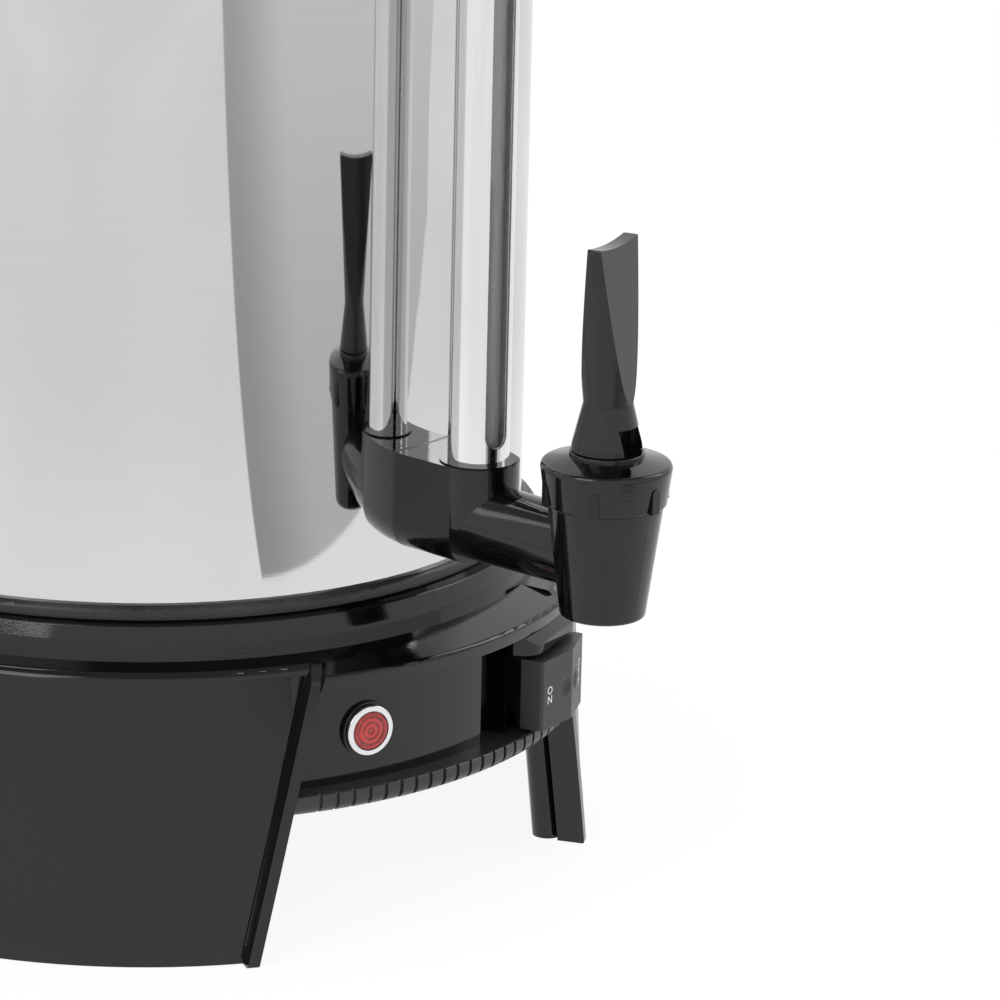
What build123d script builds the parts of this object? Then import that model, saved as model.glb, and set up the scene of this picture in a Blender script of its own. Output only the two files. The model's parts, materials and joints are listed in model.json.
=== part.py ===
from build123d import *
from math import asin, cos, degrees, radians, sin
import os

# Coffee urn with a percolator pump, a sight gauge and a tilting faucet.
# Millimetres. Z points up from the floor and is the urn's axis, the faucet is towards -Y.
# An azimuth is an angle round the urn in degrees, zero at the faucet and positive towards +X.

# ---------------------------------------------------------------- driving dimensions
# Tank
tank_radius = 120.0
tank_wall = 1.0
tank_height = 387.8
tank_floor_rise = 4.8
rim_bead = 2.6
floor_corner = 2.5

# Base moulding
base_height = 103.5
gasket_height = 3.7
gasket_proud = 2.5
flange_width = 8.0
shell_wall = 3.0
band_step = 3.1
band_drop = 1.1
band_height = 10.4
band_flare = 2.9
band_bulge = 0.6
ledge_width = 13.5
ledge_fall = 3.8
ledge_rim = 4.7
leg_count = 3
leg_inset = 0.2
leg_lean = 4.8
leg_top_drop = 1.6
leg_bevel = 6.0
leg_shoulder = 3.0
leg_edge_at_floor = 30.6
leg_edge_lean = 0.0985
strip_angle = 1.45
strip_proud = 3.4
strip_depth = 8.8
strip_stop = 4.4
lip_angle = 0.5
groove_angle = 0.7
groove_depth = 0.9
groove_stop = 2.4
post_radius = 4.7
post_angle = 2.5
post_turn = 1.4
bay_recess = 7.0
cover_fit_angle = 0.15

# Bottom cover with its ribbed edge
cover_underside = 45.0
cover_plate = 2.2
cover_step = 11.2
ring_height = 6.5
ring_width = 21.8
ring_roll = 4.0
rib_pitch = 2.25
rib_gap = 1.3
rib_depth = 0.8
rib_wrap = 6.0
boss_inset = 7.8
boss_radius = 5.0
boss_azimuth = 80.0
cover_screw_radius = 2.0
cover_screw_head = 3.8
cover_screw_head_height = 2.4
cover_screw_length = 12.2

# Front panel, pilot lamp and switch
panel_thickness = 1.7
panel_end_azimuth = 5.2
panel_corner = 4.0
panel_tuck = 2.0
lamp_azimuth = -14.8
collar_proud = 1.2
collar_radius = 8.6
bezel_thickness = 1.6
bezel_radius = 7.9
lens_radius = 6.15
lens_sink = 0.2
lamp_barrel_radius = 6.0
lamp_barrel_wall = 1.2
lamp_barrel_length = 24.0
switch_azimuth = 18.7
switch_foot_gap = 1.5
switch_tall = 22.4
switch_proud = 13.3
switch_drop = 3.2
switch_half = 16.0
switch_end_depth = 7.2
switch_corner = 1.0
pivot_depth = 17.3
switch_gap = 0.5
switch_side_gap = 1.3
switch_frame_wall = 1.5
frame_setback = 1.0
frame_depth = 18.0
recess_depth = 8.5
recess_wall = 2.0
dimple_ball = 7.0
dimple_depth = 0.7
dimple_offset = 5.6
pivot_pin_radius = 1.5
terminal_pitch = 8.0
terminal_length = 7.0
hood_half = 18.6
hood_proud = 2.2
hood_gap = 1.8
hood_edge = 2.2
hood_corner = 7.0

# Power inlet in the rear leg
inlet_azimuth = 180.0
inlet_height = 64.0
inlet_width = 32.0
inlet_tall = 20.0
inlet_wall = 2.0
inlet_depth = 18.0
inlet_setback = 2.8
inlet_flange = 4.0
inlet_flange_thickness = 2.0
inlet_pin_radius = 2.4
inlet_pin_pitch = 12.7
inlet_pin_setback = 3.0
inlet_tab_length = 6.0

# Heating
well_radius = 26.0
well_depth = 8.0
well_flange = 5.0
heater_circle = 38.0
heater_tube_radius = 3.6
heater_tail = 12.0
tie_rod_radius = 3.0
tie_rod_stick_out = 5.4
tie_nut_height = 4.0
tie_nut_flats = 10.0
thermostat_offset = 66.0
thermostat_radius = 9.0
thermostat_height = 8.0
thermostat_plate = 1.5
fuse_offset = 62.0
fuse_radius = 2.0
fuse_length = 16.0

# Faucet
faucet_reach = 71.9
arm_height = 128.0
arm_radius = 12.0
arm_tip_radius = 11.5
arm_drop = 12.8
arm_corner = 9.5
block_rise = 18.7
gauge_reach = 22.3
socket_outer = 12.4
socket_ring = 11.6
socket_ring_rise = 0.5
cup_rise = 16.6
cup_drop = 17.8
cup_top_radius = 17.0
cup_bottom_radius = 12.5
cup_wall = 3.2
seat_drop = 8.0
seat_height = 1.2
outlet_radius = 5.5
neck_radius = 15.2
neck_wall = 1.5
neck_rise = 6.8
shank_radius = 8.0
channel_radius = 4.5
shank_reach = 22.0
shank_nut_flats = 27.0
shank_nut_length = 8.0
washer_thickness = 2.5
faucet_gasket_thickness = 0.8
bonnet_foot_radius = 17.8
bonnet_shoulder_radius = 19.2
bonnet_height = 10.7
bonnet_ring_radius = 11.0
bonnet_slope = 3.1
bonnet_ring_height = 1.6
bonnet_wall_gap = 0.1
grip_count = 6
grip_width = 3.0
grip_height = 7.6
grip_proud = 0.3
stem_radius = 2.5
stem_foot_radius = 5.9
stem_foot_thickness = 2.5
stem_above_bonnet = 9.4
running_gap = 0.3
lift_gap = 0.1
pin_play = 0.05
handle_azimuth = 15.5
handle_skirt_radius = 10.5
handle_land = 2.0
handle_waist_radius = 7.25
handle_waist_rise = 14.5
handle_blade = 47.5
handle_top_radius = 12.6
handle_edge_half = 2.1
handle_top_hollow = 70.0
handle_pin_rise = 6.0
handle_pin_radius = 1.5
handle_pin_half = 7.9
notch_width = 12.5
notch_rise = 2.0
notch_inner = 3.2
cam_swing = 4.9
seat_cup_radius = 8.0
seat_cup_flare = 0.8
seat_cup_height = 8.0
seat_cup_floor = 3.0
spring_radius = 4.3
spring_wire = 0.5
spring_turns = 5

# Sight gauge
guard_outer = 9.25
guard_wall = 1.0
guard_length = 312.0
guard_seat_rise = 12.0
slot_width = 7.8
slot_azimuth = -12.0
slot_margin = 12.0
slot_top_margin = 14.0
glass_outer = 6.0
glass_wall = 1.2
seal_depth = 7.0
seal_radius = 8.2
seal_floor = 2.0
seal_above_seat = 3.0
cap_wall = 1.2
cap_skirt = 8.0
cap_dome = 6.0

# Side handles
handle_below_rim = 90.0
grip_reach = 24.0
grip_thick = 13.0
grip_tall = 20.0
grip_round = 5.0
grip_half_angle = 21.0
grip_end_angle = 5.5
foot_width = 14.0
stud_plate_radius = 11.0
stud_plate_thickness = 1.5
stud_radius = 2.5
nut_flats = 8.0
nut_height = 4.0
nut_setback = 1.0

# Lid
lid_sheet = 1.0
lid_overhang = 4.5
lid_plug_play = 2.5
lid_plug_depth = 8.0
lid_shoulder_inset = 12.0
lid_shoulder_rise = 8.0
lid_dome = 12.0
lid_flat = 18.0
lid_gap = 0.1
vent_radius = 2.0
vent_offset = 70.0
knob_radius = 21.0
knob_height = 31.0
knob_stem_radius = 11.0
knob_stem_height = 12.0
knob_screw_radius = 1.95
knob_screw_head = 4.0

# Pump, basket and its cover
pump_radius = 4.5
pump_wall = 0.8
pump_foot_radius = 23.0
pump_foot_gap = 0.3
pump_skirt = 5.0
pump_cone = 11.0
pump_socket = 18.0
pump_below_lid = 17.0
basket_radius = 92.0
basket_flare = 1.0
basket_lip = 2.0
basket_height = 73.0
basket_below_rim = 37.0
basket_sheet = 0.8
basket_gap = 0.3
screen_radius = 78.0
screen_lap = 4.0
screen_rows = 3
screen_hole_radius = 2.0
spreader_hole_radius = 2.2
spreader_rows = 3
cover_step_width = 4.5

# ---------------------------------------------------------------- planes and helpers
def outward_plane(azimuth, radius, height, centre=(0, 0)):
    """Upright plane facing outward: local x runs round the axis, local y runs up."""
    a = radians(azimuth)
    origin = (centre[0] + radius * sin(a), centre[1] - radius * cos(a), height)
    return Plane(origin=origin, x_dir=(cos(a), sin(a), 0), z_dir=(sin(a), -cos(a), 0))


def section_plane(azimuth=0, centre=(0, 0)):
    """Upright plane through an upright axis: local x runs outward from it, local y runs up."""
    a = radians(azimuth)
    origin = (centre[0], centre[1], 0)
    return Plane(origin=origin, x_dir=(sin(a), -cos(a), 0), z_dir=(-cos(a), -sin(a), 0))


def level_plane(azimuth, height, centre=(0, 0)):
    """Level plane: local x runs round the urn at this azimuth and local y runs inward."""
    a = radians(azimuth)
    origin = (centre[0], centre[1], height)
    return Plane(origin=origin, x_dir=(cos(a), sin(a), 0), z_dir=(0, 0, 1))


def outline(plane, corners):
    """Face on a plane from corners (x, y) or (x, y, corner radius)."""
    spots = [corner[:2] for corner in corners]
    radii = [corner[2] if len(corner) == 3 else 0 for corner in corners]
    with BuildSketch(plane) as face:
        with BuildLine():
            FilletPolyline(*spots, radius=radii, close=True)
        make_face()
    return face.sketch


def leg_edge(height, margin=0):
    """Half of a bay's angle at a height: the leg edges lean towards each other upwards."""
    return leg_edge_at_floor - leg_edge_lean * height + margin


def leg_radius(height):
    """Radius of the legs' outer face at a height."""
    return leg_foot_radius - (leg_foot_radius - leg_top_radius) * height / leg_top


# ---------------------------------------------------------------- worked-out dimensions
# Base and tank heights
gasket_seat = base_height
band_top = gasket_seat - band_drop
band_foot = band_top - band_height
ledge_edge = band_foot - ledge_fall
ledge_rim_foot = ledge_edge - ledge_rim
leg_top = band_foot - leg_top_drop
strip_height = leg_top - strip_stop
groove_height = leg_top - groove_stop
flange_underside = gasket_seat - shell_wall
cover_top = cover_underside + cover_plate
ring_top = cover_underside + ring_height
tank_skirt_bottom = gasket_seat + gasket_height
tank_floor_underside = tank_skirt_bottom + tank_floor_rise
tank_floor = tank_floor_underside + tank_wall
tank_rim_top = tank_skirt_bottom + tank_height
well_bottom = tank_floor - well_depth - tank_wall
tie_rod_bottom = cover_underside - tie_rod_stick_out
# Base and tank radii
tank_inner = tank_radius - tank_wall
gasket_radius = tank_radius + gasket_proud
flange_bore = tank_radius - flange_width
band_top_radius = gasket_radius + band_step
band_foot_radius = band_top_radius + band_flare
ledge_radius = band_foot_radius + ledge_width
leg_foot_radius = ledge_radius - leg_inset
leg_top_radius = leg_foot_radius - leg_lean
bay_wall_radius = ledge_radius - bay_recess
panel_back_radius = bay_wall_radius - panel_thickness
cover_radius = bay_wall_radius - cover_step
ring_radius = leg_foot_radius
ring_inner = ring_radius - ring_width
boss_circle = cover_radius - boss_inset
bay_azimuths = [i * 360 / leg_count for i in range(leg_count)]
panel_start = -leg_edge(ring_top) - panel_tuck
# Lamp and switch
lamp_height = (ring_top + ledge_rim_foot) / 2
collar_front = bay_wall_radius + collar_proud
lamp_front = collar_front + bezel_thickness
switch_bottom = ring_top + switch_foot_gap
switch_top = switch_bottom + switch_tall
switch_ridge = bay_wall_radius + switch_proud
switch_pivot_radius = switch_ridge - pivot_depth
pivot_height = (switch_bottom + switch_top) / 2
frame_half = switch_half + switch_side_gap + switch_frame_wall
frame_bottom = switch_bottom - switch_frame_wall
frame_top = switch_top + switch_gap + 0.6
switch_frame_front = bay_wall_radius - frame_setback
switch_frame_back = switch_frame_front - frame_depth
recess_front = bay_wall_radius - recess_depth
recess_reach = (panel_back_radius - 0.5) * sin(radians(switch_azimuth - panel_end_azimuth))
hood_radius = ledge_radius + hood_proud
hood_underside = switch_top + hood_gap
# Power inlet
inlet_front = ledge_radius - inlet_setback
inlet_rim = 2 * (inlet_wall + inlet_flange)
# Faucet
faucet_radius = tank_radius + faucet_reach
gauge_radius = tank_radius + gauge_reach
cup_top = arm_height + cup_rise
cup_bottom = arm_height - cup_drop
cup_floor = arm_height - seat_drop
neck_top = cup_top + neck_rise
shank_inner_end = tank_radius - shank_reach
bonnet_shoulder = cup_top + bonnet_height
bonnet_ring_foot = bonnet_shoulder + bonnet_slope
bonnet_top = bonnet_ring_foot + bonnet_ring_height
stem_top = bonnet_top + stem_above_bonnet
handle_waist = bonnet_top + handle_waist_rise
handle_top = handle_waist + handle_blade
handle_pin_height = bonnet_top + handle_pin_rise
notch_top = handle_pin_height + notch_rise
seat_top = cup_floor + seat_height
stem_foot_height = seat_top + seat_cup_floor
faucet_centre = (0, -faucet_radius)
faucet_axis = Axis((0, -faucet_radius, 0), (0, 0, 1))
handle_side = section_plane(handle_azimuth, faucet_centre)
# Sight gauge
guard_inner = guard_outer - guard_wall
guard_seat = arm_height + guard_seat_rise
guard_top = guard_seat + guard_length
slot_bottom = guard_seat + slot_margin
slot_top = guard_top - slot_top_margin
seal_pocket = guard_seat - seal_depth
seal_top = guard_seat + seal_above_seat
glass_inner = glass_outer - glass_wall
gauge_centre = (0, -gauge_radius)
gauge_axis = Axis((0, -gauge_radius, 0), (0, 0, 1))
# Side handles
handle_height = tank_rim_top - handle_below_rim
grip_inner = tank_radius + grip_reach
grip_outer = grip_inner + grip_thick
# Lid, pump and basket
lid_edge_radius = tank_radius + lid_overhang
lid_plug_radius = tank_radius - lid_plug_play
lid_plug_bottom = tank_rim_top - lid_plug_depth
lid_shoulder_radius = tank_radius - lid_shoulder_inset
lid_shoulder = tank_rim_top + lid_shoulder_rise
lid_crown = lid_shoulder + lid_dome
pump_foot = well_bottom + tank_wall + pump_foot_gap
pump_top = tank_rim_top - pump_below_lid
basket_top = tank_rim_top - basket_below_rim
basket_bottom = basket_top - basket_height
sleeve = pump_radius + 2 * basket_gap
cover_foot = basket_top + basket_sheet + basket_gap


def leg_edge_line(azimuth, side, margin):
    """Foot and direction of a leg edge, moved outward from its bay by a margin in degrees."""
    ends = []
    for height in (0, leg_top):
        spot = azimuth + side * (leg_edge(height) + margin)
        ends.append(outward_plane(spot, leg_radius(height), height).origin)
    return ends[0], (ends[1] - ends[0]).normalized()


def leg_side_plane(side, margin):
    """Flat plane through one leg edge of the front bay, facing out of the bay."""
    foot, along = leg_edge_line(0, side, margin)
    outward = outward_plane(side * (leg_edge(leg_top / 2) + margin), 0, 0).z_dir
    return Plane(origin=foot, z_dir=along.cross(outward) * side)


def bay_wedge(margin):
    """Block over the front bay, its sides along the leg edges, moved outward by a margin in degrees."""
    far = ledge_radius + 48
    near = ring_inner / 2
    with BuildPart() as wedge:
        with BuildSketch(Plane.XY.offset(-10)):
            with Locations((0, -(near + far) / 2)):
                Rectangle(2 * ring_inner, far - near)
        extrude(amount=band_foot + 14)
        for side in (-1, 1):
            with BuildSketch(leg_side_plane(side, margin)):
                Rectangle(4 * far, 4 * far)
            extrude(amount=2 * far, mode=Mode.SUBTRACT)
    return wedge.part


def save(builder, name):
    builder.part.label = name
    export_step(builder.part, f"parts/{name}.step")


os.makedirs("parts", exist_ok=True)

# ---------------------------------------------------------------- base moulding
bay_sector = bay_wedge(0)
strip_sector = bay_wedge(strip_angle)
lip_sector = bay_wedge(strip_angle + lip_angle)
groove_sector = bay_wedge(strip_angle + lip_angle + groove_angle)

with BuildPart() as bay_ring:
    bay_section = [
        (band_foot_radius, band_foot),
        (ledge_radius, ledge_edge, 1.2),
        (ledge_radius - 0.8, ledge_rim_foot),
        (bay_wall_radius, ledge_rim_foot),
        (bay_wall_radius, ring_top),
        (bay_wall_radius - shell_wall, ring_top),
        (bay_wall_radius - shell_wall, ledge_edge - shell_wall),
        (band_foot_radius - shell_wall, band_foot - shell_wall),
    ]
    revolve(outline(section_plane(), bay_section), axis=Axis.Z)
    add(bay_sector, mode=Mode.INTERSECT)

with BuildPart() as leg_ring:
    leg_section = [
        (band_foot_radius, band_foot),
        (leg_radius(leg_top) + 0.2, leg_top, leg_shoulder),
        (leg_radius(leg_bevel), leg_bevel),
        (leg_radius(0) - 1.2, 0),
        (leg_radius(0) - shell_wall, 0),
        (leg_radius(leg_top) - shell_wall, leg_top - shell_wall - 1),
        (band_foot_radius - shell_wall, band_foot - shell_wall),
    ]
    revolve(outline(section_plane(), leg_section), axis=Axis.Z)
    for azimuth in bay_azimuths:
        add(bay_sector.rotate(Axis.Z, azimuth), mode=Mode.SUBTRACT)

with BuildPart() as edge_strips:
    strip_section = [
        (leg_radius(0) + strip_proud - strip_depth, 0),
        (leg_radius(0) + strip_proud, 0, 0.8),
        (leg_radius(strip_height) + strip_proud, strip_height, 3),
        (leg_radius(leg_top), leg_top + 0.4, 2),
        (band_foot_radius, band_foot),
        (band_foot_radius - shell_wall, band_foot - shell_wall),
        (leg_radius(strip_height) + strip_proud - strip_depth, strip_height),
    ]
    revolve(outline(section_plane(), strip_section), axis=Axis.Z)
    add(strip_sector, mode=Mode.INTERSECT)
    add(bay_sector, mode=Mode.SUBTRACT)

with BuildPart() as leg_grooves:
    groove_section = [
        (leg_radius(-1) - groove_depth, -1),
        (leg_radius(-1) + 9, -1),
        (leg_radius(groove_height) + 9, groove_height),
        (leg_radius(groove_height) - groove_depth, groove_height),
    ]
    revolve(outline(section_plane(), groove_section), axis=Axis.Z)
    add(groove_sector, mode=Mode.INTERSECT)
    add(lip_sector, mode=Mode.SUBTRACT)

# Hood over the switch, hanging from the ledge's rim
with BuildPart() as switch_hood:
    hood_section = [
        (bay_wall_radius - 2, ledge_rim_foot + 1),
        (ledge_radius - 3, ledge_rim_foot + 1),
        (hood_radius, hood_underside + hood_edge, 1),
        (hood_radius, hood_underside, 0.5),
        (bay_wall_radius - 2, hood_underside),
    ]
    revolve(outline(section_plane(), hood_section), axis=Axis.Z)
    hood_plan = [
        (-hood_half, -bay_wall_radius + 6),
        (-hood_half, -hood_radius + 1, hood_corner),
        (hood_half, -hood_radius + 1, hood_corner),
        (hood_half, -bay_wall_radius + 6),
    ]
    hood_foot = level_plane(switch_azimuth, hood_underside)
    extrude(outline(hood_foot, hood_plan), amount=ledge_rim_foot + 1 - hood_underside, mode=Mode.INTERSECT)

with BuildPart() as base_shell:
    crown_section = [
        (flange_bore, gasket_seat),
        (gasket_radius + 0.1, gasket_seat),
        (gasket_radius + 0.1, gasket_seat - 1.9),
        (band_top_radius - 1.2, gasket_seat - 1.9),
        (band_top_radius, band_top, 0.5),
        ((band_top_radius + band_foot_radius) / 2 + band_bulge, (band_top + band_foot) / 2, 8),
        (band_foot_radius, band_foot),
        (band_foot_radius - shell_wall, band_foot - shell_wall),
        (band_top_radius - shell_wall, flange_underside, 2),
        (flange_bore, flange_underside),
    ]
    revolve(outline(section_plane(), crown_section), axis=Axis.Z)
    for azimuth in bay_azimuths:
        add(bay_ring.part.rotate(Axis.Z, azimuth))
        add(edge_strips.part.rotate(Axis.Z, azimuth))
    add(leg_ring.part)
    for azimuth in bay_azimuths:
        add(leg_grooves.part.rotate(Axis.Z, azimuth), mode=Mode.SUBTRACT)
    # Half-round posts behind the leg edges
    post_inset = strip_depth - strip_proud + post_radius - 0.4
    for azimuth in bay_azimuths:
        for side in (-1, 1):
            foot_spot = azimuth + side * (leg_edge(0) + post_angle)
            head_spot = azimuth + side * (leg_edge(leg_top) + post_angle + post_turn)
            foot = outward_plane(foot_spot, leg_radius(0) - post_inset, 0).origin
            head = outward_plane(head_spot, leg_radius(leg_top) - post_inset, leg_top - 2).origin
            along = (head - foot).normalized()
            with BuildSketch(Plane(origin=foot - along * 2, z_dir=along)):
                Circle(post_radius)
            extrude(amount=(head - foot).length + 2)
    with BuildSketch(Plane.XY):
        Circle(ledge_radius + 20)
    extrude(amount=-10, mode=Mode.SUBTRACT)
    # Bosses for the cover screws
    with BuildSketch(Plane.XY.offset(cover_top)):
        with PolarLocations(boss_circle, leg_count, start_angle=boss_azimuth - 90):
            Circle(boss_radius)
    extrude(amount=flange_underside + 1 - cover_top)
    with BuildSketch(Plane.XY.offset(cover_top)):
        with PolarLocations(boss_circle, leg_count, start_angle=boss_azimuth - 90):
            Circle(cover_screw_radius)
    extrude(amount=cover_screw_length + 2, mode=Mode.SUBTRACT)
    add(switch_hood.part)
    # Seat of the front panel
    seat_section = [
        (panel_back_radius, ring_top - 1),
        (bay_wall_radius + 1, ring_top - 1),
        (bay_wall_radius + 1, ledge_rim_foot),
        (panel_back_radius, ledge_rim_foot),
    ]
    revolve(
        outline(section_plane(panel_start), seat_section),
        axis=Axis.Z,
        revolution_arc=panel_end_azimuth - panel_start,
        mode=Mode.SUBTRACT,
    )
    # Recess between the panel and the switch
    gap_section = [
        (recess_front - recess_wall - 8, ring_top - 1),
        (bay_wall_radius + 1, ring_top - 1),
        (bay_wall_radius + 1, ledge_rim_foot),
        (recess_front - recess_wall - 8, ledge_rim_foot),
    ]
    revolve(
        outline(section_plane(panel_end_azimuth), gap_section),
        axis=Axis.Z,
        revolution_arc=switch_azimuth - panel_end_azimuth,
        mode=Mode.SUBTRACT,
    )
    # Opening for the lamp and for the switch frame
    with BuildSketch(outward_plane(lamp_azimuth, 0, lamp_height)):
        Circle(lamp_barrel_radius + 0.2)
    extrude(amount=ledge_radius, mode=Mode.SUBTRACT)
    with BuildSketch(outward_plane(switch_azimuth, 0, pivot_height)):
        Rectangle(2 * frame_half, frame_top - frame_bottom)
    extrude(amount=ledge_radius + 20, mode=Mode.SUBTRACT)
    # Opening for the power inlet
    with BuildSketch(outward_plane(inlet_azimuth, 0, inlet_height)):
        RectangleRounded(inlet_width + 2 * inlet_wall, inlet_tall + 2 * inlet_wall, 3)
    extrude(amount=ledge_radius + 20, mode=Mode.SUBTRACT)
    with BuildSketch(outward_plane(inlet_azimuth, inlet_front - inlet_flange_thickness, inlet_height)):
        RectangleRounded(inlet_width + inlet_rim, inlet_tall + inlet_rim, 4)
    extrude(amount=20, mode=Mode.SUBTRACT)
save(base_shell, "base_shell")

with BuildPart() as body_gasket:
    gasket_section = [
        (tank_radius - 4, gasket_seat),
        (gasket_radius, gasket_seat),
        (gasket_radius, tank_skirt_bottom, 1.8),
        (tank_radius - 4, tank_skirt_bottom),
    ]
    revolve(outline(section_plane(), gasket_section), axis=Axis.Z)
save(body_gasket, "body_gasket")

# ---------------------------------------------------------------- bottom cover and its ribbed edge
rib_count = int(2 * leg_edge(ring_top) / rib_pitch) - 1
with BuildPart() as rib_grooves:
    for i in range(rib_count):
        groove_azimuth = (i - (rib_count - 1) / 2) * rib_pitch
        with BuildSketch(outward_plane(groove_azimuth, ring_radius - rib_wrap, cover_underside)):
            Rectangle(rib_gap, 3 * ring_height)
        extrude(amount=rib_wrap + 5)
    skin_section = [
        (ring_radius - rib_wrap, cover_underside - 2),
        (ring_radius + 2, cover_underside - 2),
        (ring_radius + 2, ring_top + 1),
        (ring_radius - rib_depth, ring_top + 1),
        (ring_radius - rib_depth, cover_underside + rib_depth, ring_roll - rib_depth),
        (ring_radius - rib_wrap, cover_underside + rib_depth),
    ]
    revolve(outline(section_plane(), skin_section), axis=Axis.Z, mode=Mode.INTERSECT)

with BuildPart() as ribbed_arc:
    ring_back = bay_wall_radius - shell_wall - 4
    arc_section = [
        (ring_inner, cover_underside),
        (ring_radius, cover_underside, ring_roll),
        (ring_radius, ring_top, 0.9),
        (ring_back, ring_top),
        (ring_back, cover_top),
        (ring_inner, cover_top),
    ]
    revolve(outline(section_plane(), arc_section), axis=Axis.Z)
    add(bay_wedge(-cover_fit_angle), mode=Mode.INTERSECT)
    add(rib_grooves.part, mode=Mode.SUBTRACT)

with BuildPart() as bottom_cover:
    with BuildSketch(Plane.XY.offset(cover_underside)):
        Circle(cover_radius)
    extrude(amount=cover_plate)
    for azimuth in bay_azimuths:
        add(ribbed_arc.part.rotate(Axis.Z, azimuth))
    with BuildSketch(Plane.XY.offset(cover_underside)):
        Circle(tie_rod_radius + 0.3)
        with PolarLocations(boss_circle, leg_count, start_angle=boss_azimuth - 90):
            Circle(cover_screw_radius + 0.2)
    extrude(amount=cover_plate, mode=Mode.SUBTRACT)
save(bottom_cover, "bottom_cover")

with BuildPart() as cover_screws:
    with BuildSketch(Plane.XY.offset(cover_underside)):
        with PolarLocations(boss_circle, leg_count, start_angle=boss_azimuth - 90):
            Circle(cover_screw_radius - 0.05)
    extrude(amount=cover_screw_length)
    with BuildSketch(Plane.XY.offset(cover_underside)):
        with PolarLocations(boss_circle, leg_count, start_angle=boss_azimuth - 90):
            Circle(cover_screw_head)
    extrude(amount=-cover_screw_head_height)
    fillet(cover_screws.edges().filter_by(GeomType.CIRCLE).group_by(Axis.Z)[0], cover_screw_head_height / 2)
save(cover_screws, "cover_screws")

# ---------------------------------------------------------------- front panel and pilot lamp
with BuildPart() as front_panel:
    panel_section = [
        (panel_back_radius, ring_top),
        (bay_wall_radius, ring_top),
        (bay_wall_radius, ledge_rim_foot),
        (panel_back_radius, ledge_rim_foot),
    ]
    revolve(
        outline(section_plane(-leg_edge_at_floor), panel_section),
        axis=Axis.Z,
        revolution_arc=panel_end_azimuth + leg_edge_at_floor,
    )
    add(bay_wedge(-0.1), mode=Mode.INTERSECT)
    top_ends = front_panel.edges().group_by(Axis.Z)[-1].sort_by(SortBy.LENGTH)[:2]
    fillet(top_ends.sort_by(Axis.X)[0], panel_corner)
    with BuildSketch(outward_plane(lamp_azimuth, 0, lamp_height)):
        Circle(lamp_barrel_radius + 0.2)
    extrude(amount=ledge_radius, mode=Mode.SUBTRACT)
save(front_panel, "front_panel")

with BuildPart() as lamp_body:
    with BuildSketch(outward_plane(lamp_azimuth, bay_wall_radius - lamp_barrel_length, lamp_height)):
        Circle(lamp_barrel_radius)
        Circle(lamp_barrel_radius - lamp_barrel_wall, mode=Mode.SUBTRACT)
    extrude(amount=lamp_barrel_length)
    with BuildSketch(outward_plane(lamp_azimuth, bay_wall_radius, lamp_height)):
        Circle(collar_radius)
        Circle(lamp_barrel_radius - lamp_barrel_wall, mode=Mode.SUBTRACT)
    extrude(amount=collar_proud)
    with BuildSketch(outward_plane(lamp_azimuth, bay_wall_radius - lamp_barrel_length, lamp_height)):
        Circle(lamp_barrel_radius)
    extrude(amount=lamp_barrel_wall)
save(lamp_body, "lamp_body")

with BuildPart() as lamp_bezel:
    with BuildSketch(outward_plane(lamp_azimuth, collar_front, lamp_height)):
        Circle(bezel_radius)
        Circle(lens_radius, mode=Mode.SUBTRACT)
    extrude(amount=bezel_thickness)
    fillet(lamp_bezel.edges().filter_by(GeomType.CIRCLE).sort_by(SortBy.RADIUS)[-2:], 0.6)
save(lamp_bezel, "lamp_bezel")

with BuildPart() as lamp_lens:
    with BuildSketch(outward_plane(lamp_azimuth, collar_front, lamp_height)):
        Circle(lens_radius)
    extrude(amount=bezel_thickness - lens_sink)
    with BuildSketch(outward_plane(lamp_azimuth, collar_front, lamp_height)):
        Circle(lamp_barrel_radius - lamp_barrel_wall - 0.1)
    extrude(amount=-lamp_barrel_length / 3)
    for ring_of_lens in (0.74 * lens_radius, 0.45 * lens_radius):
        with BuildSketch(outward_plane(lamp_azimuth, lamp_front - lens_sink, lamp_height)):
            Circle(ring_of_lens)
            Circle(ring_of_lens - 0.5, mode=Mode.SUBTRACT)
        extrude(amount=0.3)
save(lamp_lens, "lamp_lens")

# ---------------------------------------------------------------- switch
switch_axis = Axis(outward_plane(switch_azimuth, switch_pivot_radius, 0).origin, (0, 0, 1))

with BuildPart() as switch_housing:
    with BuildSketch(outward_plane(switch_azimuth, switch_frame_back, pivot_height)):
        Rectangle(2 * frame_half - 0.2, frame_top - frame_bottom - 0.2)
    extrude(amount=frame_depth)
    with BuildSketch(outward_plane(switch_azimuth, switch_frame_back + switch_frame_wall, pivot_height)):
        Rectangle(2 * (switch_half + switch_side_gap), switch_tall + 2 * switch_gap)
    extrude(amount=frame_depth, mode=Mode.SUBTRACT)
    # Back wall of the recess between the frame and the front panel
    recess_plan = [
        (-recess_reach, -recess_front),
        (-frame_half + 1, -recess_front),
        (-frame_half + 1, -recess_front + recess_wall),
        (-recess_reach, -recess_front + recess_wall),
    ]
    extrude(outline(level_plane(switch_azimuth, ring_top), recess_plan), amount=ledge_rim_foot - ring_top)
    # Holes for the pivot pin
    with BuildSketch(Plane.XY.offset(frame_bottom - 1)):
        with Locations(switch_axis.position):
            Circle(pivot_pin_radius)
    extrude(amount=frame_top - frame_bottom + 2, mode=Mode.SUBTRACT)
save(switch_housing, "switch_housing")

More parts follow.
